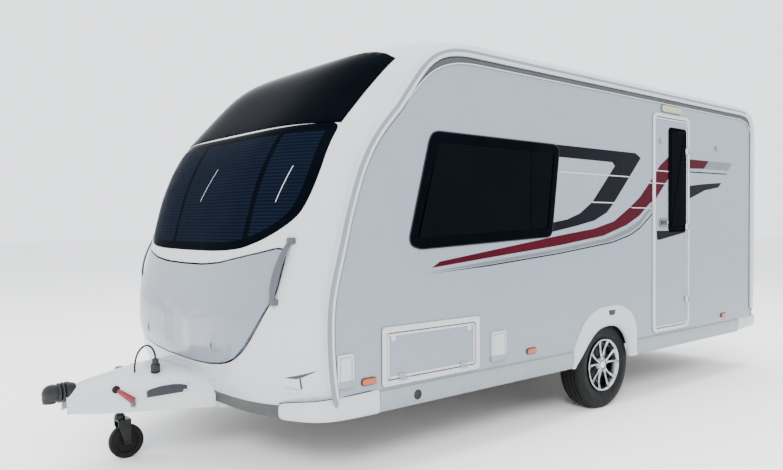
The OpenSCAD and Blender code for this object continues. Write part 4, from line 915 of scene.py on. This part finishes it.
for side, tag in SIDES:
    on_lid = {"body": "gas_locker_lid", "edge": 0.01}
    strip("lid_lock_" + tag, lock_oval(side, 0.017, 0.030, 24), PALE_GREY, out=0.015, thick=0.006, **on_lid)
    strip("lid_key_" + tag, lock_oval(side, 0.006, 0.020, 16), DARK_GREY, out=0.0165, thick=0.004, **on_lid)
    for name, outline, mat, out in (("step_shade_", STEP_SHADE, RECESS_SHADE, 0.002),
                                    ("step_wall_", STEP_WALL_SHADE, RECESS_SHADE, 0.002),
                                    ("step_ledge_", STEP_LEDGE, TRIM, 0.007)):
        corner = [(side * x, z) for x, z in outline]
        strip(name + tag, corner, mat, out=out, thick=0.004, edge=0.012, slot="white_abs")

# ---------------------------------------------------------------- grab handles
def grip_at(t):
    """The point of the skin under a grab handle, t of the way up it."""
    x, z = 0.905 + 0.022 * t, 0.975 + 0.335 * t
    return x, skin(x, s_of_z(x, z))[1], z


for side, tag in SIDES:
    rows = []
    for t in np.linspace(0, 1, 25):
        x, y, z = grip_at(t)
        lift = 0.010 + 0.034 * math.sin(math.pi * t) ** 0.6
        half = 0.013 + 0.013 * math.sin(math.pi * min(1, t * 1.1)) ** 0.8 * (0.55 + 0.45 * t)
        section = []
        for a in np.linspace(0, 2 * math.pi, 17)[:-1]:
            section.append((side * (x + half * math.cos(a) * 0.92 + 0.25 * lift),
                            y + half * math.cos(a) * 0.38 - lift - 0.008 * math.sin(a), z))
        rows.append(section)
    grip = loft("grab_handle_" + tag, rows, GRIP)
    for k, t in enumerate((0.03, 0.97)):
        x, y, z = grip_at(t)
        near, far = sorted((side * (x - 0.016), side * (x + 0.022)))
        brick(f"grab_foot_{tag}_{k}", (near, y - 0.03, z - 0.016), (far, y + 0.008, z + 0.016), GRIP,
              r=0.006)
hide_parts("grab_handles")

# ---------------------------------------------------------------- fairing over the drawbar
# its sections: distance behind the tip, half width, bottom and top, in millimetres
COVER = np.array([(130, 62, 372, 484), (170, 78, 366, 502), (260, 120, 360, 526), (400, 180, 356, 547),
                  (560, 250, 354, 558), (700, 312, 354, 562), (830, 362, 354, 560),
                  (1000, 400, 354, 556)], float) / 1000


def arched(y):
    """How square the fairing's section is: it grows towards the body."""
    return float(np.interp(y - NOSE, (0.13, 0.40, 0.56), (2.6, 3.0, 4.4)))


def cover_row(y):
    """Half width, bottom and top of the fairing at y."""
    return [float(np.interp(y - NOSE, COVER[:, 0], COVER[:, k])) for k in (1, 2, 3)]


def cover_x(y, z):
    """Half width of the fairing's surface at y and z."""
    w, low, high = cover_row(y)
    return w * max(0.0, 1 - min(1, max(0, (z - low) / (high - low))) ** arched(y)) ** (1 / arched(y))


def cover_point(y, a):
    """The point of the fairing at y and the angle a round its section."""
    w, low, high = cover_row(y)
    c, s = math.cos(a), math.sin(a)
    power = 2 / arched(y)
    return (math.copysign(w * abs(c) ** power, c), y, low + (high - low) * abs(s) ** power)


angles = np.linspace(0, math.pi, 41)
ends = []
for a in angles:
    y = -2.80
    for _ in range(30):
        x, _y, z = cover_point(y, a)
        y = 0.5 * y + 0.5 * (float(skin(x, s_of_z(x, max(z, 0.44)))[1]) + 0.004)
    ends.append(y)
rows = []
for t in [0.0, 0.004, 0.012, *np.linspace(0.03, 1, 40)]:
    row = []
    for a, end in zip(angles, ends):
        y = NOSE + 0.130 + t * (end - NOSE - 0.130)
        x, _y, z = cover_point(y, a)
        ease = 1 - 0.10 * max(0, 1 - t / 0.02) ** 2
        low = cover_row(y)[1]
        row.append((x * ease, y, low + (z - low) * ease))
    rows.append(row)
cover = loft("a_frame_fairing", rows, WHITE, hoops=False, thick=0.004)
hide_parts("a_frame_cover")
front_edge = [cover_point(NOSE + 0.131, a) for a in angles]
tube("fairing_lip", [(x * 0.93, y, z - 0.006) for x, y, z in front_edge], 0.006, WHITE, n=8)
ridge = [(0.012, y, cover_row(y)[2] + 0.001) for y in np.linspace(NOSE + 0.14, NOSE + 0.45, 24)]
tube("fairing_seam", ridge, 0.0035, SEAL, n=8)

PAD_TOP = [(-3.122, 0.462), (-3.105, 0.473), (-3.05, 0.487), (-2.99, 0.493), (-2.95, 0.49),
           (-2.925, 0.484)]
PAD_LOW = [(-3.122, 0.430), (-2.925, 0.452)]
pad_rows, rim = [], []
for y in np.linspace(-3.122, -2.925, 40):
    low, high = np.interp(y, *zip(*PAD_LOW)), np.interp(y, *zip(*PAD_TOP))
    pad_rows.append([(cover_x(y, z) + 0.0022, y, z) for z in np.linspace(low, high, 8)])
loft("fairing_pad", pad_rows, PAD, hoops=False, thick=0.003)
outline = [row[0] for row in pad_rows] + [row[-1] for row in reversed(pad_rows)]
for x, y, z in [*outline, outline[0]]:
    past_end = 0.010 * (1 if y > -3.02 else -1) if abs(y + 3.0235) > 0.095 else 0
    rim.append((x + 0.001, y + past_end, z + (0.008 if z > 0.45 else -0.006)))
tube("fairing_pad_rim", smooth(rim, 2), 0.006, WHITE, n=10)

pivot = (cover_x(-3.262, 0.480) - 0.004, -3.262, 0.480)
lathe("brake_lever_boot", [(0.0005, 0.016), (0.016, 0.016), (0.021, 0.011), (0.023, 0.0), (0.0005, 0.0)],
      pivot, BLACK_PLASTIC, n=28)
hand = [(pivot[0] + 0.014, -3.258, 0.477), (0.178, -3.244, 0.466), (0.19, -3.222, 0.447),
        (0.203, -3.196, 0.425), (0.205, -3.19, 0.42)]
girth = np.interp(np.linspace(0, 1, 21), [0, 0.1, 0.5, 0.9, 1], [0.008, 0.012, 0.016, 0.020, 0.014]).tolist()
lever = tube("brake_lever_grip", smooth(hand, 5), girth, RED, n=18)
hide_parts("handbrake_lever")
knob = [(0.203, -3.198, 0.418), (0.206, -3.194, 0.404), (0.207, -3.192, 0.390)]
tube("brake_lever_end", smooth(knob, 4), 0.0125, STEEL_BLUE, n=18)

# ---------------------------------------------------------------- coupling head with its ribbed boot
# (y, radius) along the boot
HEAD = [(-3.606, 0.004), (-3.603, 0.018), (-3.594, 0.034), (-3.578, 0.046), (-3.560, 0.050), (-3.540, 0.049),
        (-3.532, 0.046), (-3.526, 0.053), (-3.518, 0.054), (-3.513, 0.046), (-3.507, 0.055), (-3.499, 0.056),
        (-3.494, 0.047), (-3.488, 0.056), (-3.478, 0.056), (-3.440, 0.045)]
rows = [[(r * math.cos(a), y, 0.478 + r * math.sin(a)) for a in np.linspace(0, 2 * math.pi, 33)[:-1]]
        for y, r in HEAD]
head = loft("coupling_boot", rows, CAST)
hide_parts("coupling_head")
lathe("coupling_socket", [(0.026, -0.045), (0.034, -0.045), (0.037, -0.02), (0.037, 0.0), (0.026, 0.0)],
      (0, -3.568, 0.474), CAST, axis="z", n=40)
brick("coupling_neck", (-0.028, -3.5, 0.43), (0.028, -3.3, 0.47), CAST, r=0.008)
lathe("plug_holder", [(0.0005, 0.0), (0.023, 0.0), (0.025, 0.004), (0.025, 0.018), (0.0005, 0.018)],
      (0.165, -3.052, 0.5465), BLACK_PLASTIC, axis="z", n=36)

# ---------------------------------------------------------------- skirts, nose caps and front valance, the valance dark with painted shade
JACK_HOLE = [(0.0005, 0.0006), (0.021, 0.0006), (0.026, 0.003), (0.029, 0.0), (0.0005, -0.002)]
SKIRT_SECTION = [(1.1155, 0.492), (1.119, 0.4905), (1.1195, 0.486), (1.117, 0.4835), (1.126, 0.48),
                 (1.1295, 0.47), (1.13, 0.44), (1.128, 0.405), (1.124, 0.38), (1.118, 0.369),
                 (1.108, 0.366), (1.098, 0.372), (1.098, 0.486)]
# The side skirts wear the darker white of painted shade; tails and nose caps wear the bright trim.
for side, tag in SIDES:
    for name, y0, y1 in (("front", -2.195, -0.462), ("rear", 0.352, 2.066)):
        rows = [[(side * x, y, z) for x, z in SKIRT_SECTION] for y in np.linspace(y0, y1, 12)]
        skirt = loft(f"skirt_{name}_{tag}", rows, SKIRT_SHADED_WHITE)
    rows = []
    for t in np.linspace(0, 1, 14):
        y = 2.072 + (2.478 - 2.072) * t
        tuck = 0.03 * max(0, t - 0.75) ** 2 / 0.0625
        low = 0.374 + 0.020 * min(1, t * 1.4)
        tall = (0.496 - low) / 0.126
        rows.append([(side * (x + 0.001 - tuck), y, low + (z - 0.366) * tall) for x, z in SKIRT_SECTION])
    loft("skirt_tail_" + tag, rows, TRIM, slot="skirt_paint")
    path = [(1.1165, -2.2), (1.1165, -2.3), (1.114, -2.38), (1.106, -2.45), (1.088, -2.515),
            (1.06, -2.562), (1.02, -2.602), (0.97, -2.64), (0.925, -2.666), (0.89, -2.682)]
    path = smooth(path, 4)
    rows, brow = [], []
    for k, (x, y) in enumerate(path):
        ax, ay = path[max(k - 1, 0)]
        bx, by = path[min(k + 1, len(path) - 1)]
        d = math.hypot(bx - ax, by - ay)
        nx, ny = -(by - ay) / d, (bx - ax) / d
        t = k / (len(path) - 1)
        high = np.interp(t, (0, 0.35, 0.75, 1), (0.494, 0.487, 0.470, 0.454))
        low = np.interp(t, (0, 0.6, 1), (0.366, 0.369, 0.376))
        mid, tall = (high + low) / 2, (high - low) / 2
        brow.append((side * (x + nx * 0.004), y + ny * 0.004, high + 0.001))
        size = math.sqrt(max(0.0, 1 - max(0, (t - 0.90) / 0.10) ** 2)) * 0.9 + 0.1
        row = []
        for a in np.linspace(-math.pi / 2, math.pi / 2, 15):
            out = 0.0150 * abs(math.cos(a)) ** 0.5
            row.append((side * (x + nx * out * size), y + ny * out * size, mid + tall * size * math.sin(a)))
        row += [(side * (x - nx * 0.014), y - ny * 0.014, mid + 0.8 * tall * size),
                (side * (x - nx * 0.014), y - ny * 0.014, mid - 0.8 * tall * size)]
        rows.append(row)
    loft("nose_cap_" + tag, rows, TRIM, slot="skirt_paint")
    tube("nose_cap_seam_" + tag, brow[2:-1], 0.0022, SEAL, n=8)
    lathe("jack_hole_" + tag, JACK_HOLE, (1.1296 if side > 0 else -1.131, -1.925, 0.425), SEAL, n=32)
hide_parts("skirts")
# The front valance's dark colour is painted shade on a strip that faces down.
rows = []
for x in np.linspace(-0.93, 0.93, 61):
    y = float(skin(x, S0)[1])
    z = float(skin(x, S0)[2])
    rows.append([(x, y + 0.002, z + 0.004), (x, y - 0.002, z - 0.004), (x, y + 0.03, 0.372),
                 (x, y + 0.05, 0.366), (x, y + 0.06, z)])
loft("front_valance_painted_shade", rows, VALANCE_SHADE)

# ---------------------------------------------------------------- wheel spats
# the inner and outer edge seen from the side: (y, z) in millimetres
ARCH_IN = [(-430, 366), (-418, 376), (-365, 414), (-312, 462), (-258, 516), (-203, 560), (-148, 592),
           (-91, 612), (-22, 621), (47, 618), (98, 608), (143, 587), (190, 550), (228, 503), (252, 448),
           (266, 392), (268, 366)]
ARCH_OUT = [(-470, 366), (-466, 430), (-452, 480), (-418, 546), (-334, 660), (-272, 708), (-204, 742),
            (-128, 762), (-46, 770), (60, 770), (130, 764), (195, 746), (282, 700), (330, 642),
            (350, 566), (358, 490), (360, 366)]


def even(points, n):
    """n points at even steps along a smooth curve."""
    p = np.array(smooth(points, 6)) / 1000
    d = np.concatenate([[0], np.cumsum(np.hypot(*np.diff(p, axis=0).T))])
    t = np.linspace(0, d[-1], n)
    return np.stack([np.interp(t, d, p[:, k]) for k in range(2)], 1)


SPAT_SECTION = ((0.0, 1.1155), (0.03, 1.1225), (0.10, 1.1275), (0.28, 1.1300), (0.55, 1.1290),
                (0.80, 1.1250), (0.93, 1.1180), (1.0, 1.1060), (0.99, 1.0880), (0.93, 1.0880),
                (0.90, 1.1050), (0.1, 1.1130))
for side, tag in SIDES:
    rows = []
    for o, i in zip(even(ARCH_OUT, 72), even(ARCH_IN, 72)):
        row = []
        for t, x in SPAT_SECTION:
            p = o + (i - o) * t
            row.append((side * x, p[0], p[1]))
        rows.append(row)
    spat = loft("wheel_spat_" + tag, rows, TRIM)
    clip_line = rounded([(-0.046, 0.741), (0.046, 0.741), (0.030, 0.704), (-0.030, 0.704)], 0.006)
    plate("spat_clip_" + tag, clip_line, 0.011, 0.0175, DARK_GREY, side=side, bevel=0.002)
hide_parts("wheel_spats")

# ---------------------------------------------------------------- wheels
HALF_TRACK = 0.975
WHEEL_R = 0.325
# profiles are (radius, along the axle from the wheel's middle)
TYRE = [(0.193, 0.07), (0.205, 0.078), (0.222, 0.083), (0.24, 0.0895), (0.243, 0.0905), (0.262, 0.0925),
        (0.284, 0.0905), (0.286, 0.089), (0.3, 0.086), (0.312, 0.08), (0.3195, 0.071), (0.3235, 0.06)]
TREAD = []
for mid in (0.050, 0.018, -0.018, -0.050):
    TREAD += [(0.3248, mid + 0.0045), (0.3170, mid + 0.0030), (0.3170, mid - 0.0030), (0.3248, mid - 0.0045)]
RIM_LIP = [(0.176, 0.08), (0.184, 0.09), (0.191, 0.0915), (0.1945, 0.088), (0.1945, 0.08), (0.186, 0.07),
           (0.18, 0.03), (0.172, -0.07), (0.192, -0.082), (0.188, -0.088), (0.166, -0.072), (0.17, 0.03)]


def box_section(c, u, v, w, h, soft):
    """Eight points of a bar's section at c: w across u, h across v."""
    pts = [(-1, -1 + soft), (-1 + soft, -1), (1 - soft, -1), (1, -1 + soft), (1, 1 - soft), (1 - soft, 1),
           (-1 + soft, 1), (-1, 1 - soft)]
    return [tuple(c + u * (p * w / 2) + v * (q * h / 2)) for p, q in pts]


def flip(profile):
    """A profile turned towards the side of the wheel in hand."""
    return [(r, side * t) for r, t in profile]


def spoke(side, k, lean):
    """Sections of one bar of a twin spoke, from the hub to the rim."""
    rows = []
    for t in np.linspace(0, 1, 9):
        r = 0.040 + 0.144 * t
        turn = math.radians(90 + 72 * k) + lean * math.radians(9 + 8.5 * t ** 1.2)
        u = Vector((0, -math.sin(turn), math.cos(turn)))
        dish = 0.070 + 0.014 * t ** 2 - 0.008 * math.sin(math.pi * t)
        c = Vector((side * (HALF_TRACK + dish), r * math.cos(turn), WHEEL_R + r * math.sin(turn)))
        wide = 0.017 + 0.010 * abs(2 * t - 0.9) ** 2
        rows.append(box_section(c, u, Vector((1, 0, 0)), wide, 0.022, 0.45))
    return rows


DRUM = [(0.0005, 0.030), (0.118, 0.030), (0.124, 0.024), (0.124, -0.03), (0.0005, -0.03)]
HUB = [(0.0005, 0.0800), (0.026, 0.0795), (0.030, 0.0760), (0.031, 0.0700), (0.056, 0.0640), (0.060, 0.0560),
       (0.060, 0.036), (0.0005, 0.036)]
BOLT = [(0.0005, 0.010), (0.007, 0.010), (0.0085, 0.007), (0.0085, 0.0), (0.0005, 0.0)]
for side, tag in SIDES:
    at = (side * HALF_TRACK, 0.0, WHEEL_R)
    body = tag + "_wheel"
    ring = TYRE + [(0.3248, 0.0545)] + TREAD + [(r, -t) for r, t in reversed(TYRE)]
    rubber = lathe(f"{tag}_tyre_tread", flip(ring), at, RUBBER, body, n=120)
    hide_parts(f"{tag}_tyre")
    lip = lathe(f"{tag}_rim_lip", flip(RIM_LIP), at, ALLOY, body, n=96)
    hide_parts(f"{tag}_rim")
    lathe(f"{tag}_drum", flip(DRUM), at, BLACK_STEEL, body, n=48)
    lathe(f"{tag}_hub", flip(HUB), at, ALLOY, body, n=48)
    for k in range(5):
        for twin, lean in ((0, -1), (1, 1)):
            loft(f"{tag}_spoke_{k}_{twin}", spoke(side, k, lean), CHROME, body)
        turn = math.radians(54 + 72 * k)
        spot = (side * 1.036, 0.046 * math.cos(turn), WHEEL_R + 0.046 * math.sin(turn))
        lathe(f"{tag}_bolt_{k}", flip(BOLT), spot, ZINC, body, n=12, slot="alloy")

# ---------------------------------------------------------------- jacking bracket ahead of each wheel
for side, tag in SIDES:
    a, b = sorted((side * 0.86, side * 0.90))
    brick("jack_bracket_" + tag, (a, -0.6, 0.315), (b, -0.43, 0.352), ZINC, r=0.006)
    brick("jack_bracket_top_" + tag, (a, -0.52, 0.352), (b, -0.44, 0.44), BLACK_STEEL, r=0.005,
          slot="galvanised")


# ---------------------------------------------------------------- finishes of the CAD pieces that stay
# Walls, doors, skirts, bumper and lid take the darker whites of painted shade.
PAINT = {
    "chassis_frame": ZINC, "axle": BLACK_STEEL, "coupling_head": CAST, "a_frame_cover": WHITE,
    "handbrake_lever": RED, "tow_plug": DARK_GREY, "jockey_clamp": GREY, "jockey_mast": BLACK_STEEL,
    "jockey_fork": BLACK_STEEL, "jockey_wheel": RUBBER, "steady_bases": ZINC, "floor_panel": PLY,
    "left_wall": SIDE_SHADED_WHITE, "right_wall": SIDE_SHADED_WHITE, "window_blinds": CLOTH, "rooflight": PALE_GREY,
    "rear_bumper": SKIRT_SHADED_WHITE, "tail_lights": RED_LENS, "skirts": SKIRT_SHADED_WHITE, "wheel_spats": TRIM,
    "entrance_door": SIDE_SHADED_WHITE, "door_frames": TRIM, "gas_locker_lid": LID_SHADED_WHITE, "grab_handles": PALE_GREY,
    "locker_bulkhead": INNER, "locker_door": SIDE_SHADED_WHITE, "service_boxes": TRIM, "wheel_boxes": BLACK_PLASTIC,
    "left_tyre": RUBBER, "right_tyre": RUBBER, "left_rim": ALLOY, "right_rim": ALLOY,
}
for tag in ("fl", "fr", "rl", "rr"):
    PAINT["steady_leg_" + tag] = ZINC
    PAINT["steady_strut_" + tag] = ZINC
for name, mat in PAINT.items():
    slots = NODES[name].material_slots
    if not slots:
        NODES[name].data.materials.append(mat)
    for slot in slots:
        slot.material = mat

# ---------------------------------------------------------------- stage and light
floor_mesh = bpy.data.meshes.new("floor")
FLOOR_REACH = 60
floor_corners = [(-FLOOR_REACH, -FLOOR_REACH, 0), (FLOOR_REACH, -FLOOR_REACH, 0),
                 (FLOOR_REACH, FLOOR_REACH, 0), (-FLOOR_REACH, FLOOR_REACH, 0)]
floor_mesh.from_pydata(floor_corners, [], [(0, 1, 2, 3)])
floor = bpy.data.objects.new("floor", floor_mesh)
floor_mesh.materials.append(FLOOR)
bpy.context.collection.objects.link(floor)

world = bpy.data.worlds.new("world")
world.use_nodes = True
backdrop = world.node_tree.nodes["Background"]
backdrop.inputs["Color"].default_value = (0.93, 0.96, 1.0, 1)
backdrop.inputs["Strength"].default_value = 2.3
bpy.context.scene.world = world


def area_light(name, at, towards, size, power, color):
    """A round soft light that leaves no bright disc in the panes."""
    data = bpy.data.lights.new(name, "AREA")
    data.shape = "DISK"
    data.size = size
    data.energy = power
    data.color = color
    ob = bpy.data.objects.new(name, data)
    ob.location = at
    ob.visible_glossy = False
    ob.rotation_euler = (Vector(towards) - Vector(at)).to_track_quat("-Z", "Y").to_euler()
    bpy.context.collection.objects.link(ob)


area_light("key", (8.0, -9.0, 7.0), (0.6, -1.2, 1.2), 4.0, 1900, (1.0, 0.99, 0.97))
area_light("fill", (-7.0, -8.0, 6.0), (0, -1.0, 1.2), 7.0, 260, (0.92, 0.96, 1.0))
area_light("top", (0.5, 2.0, 10.5), (0, 1.0, 2.0), 8.0, 1500, (1, 1, 1))

bpy.context.view_layer.update()
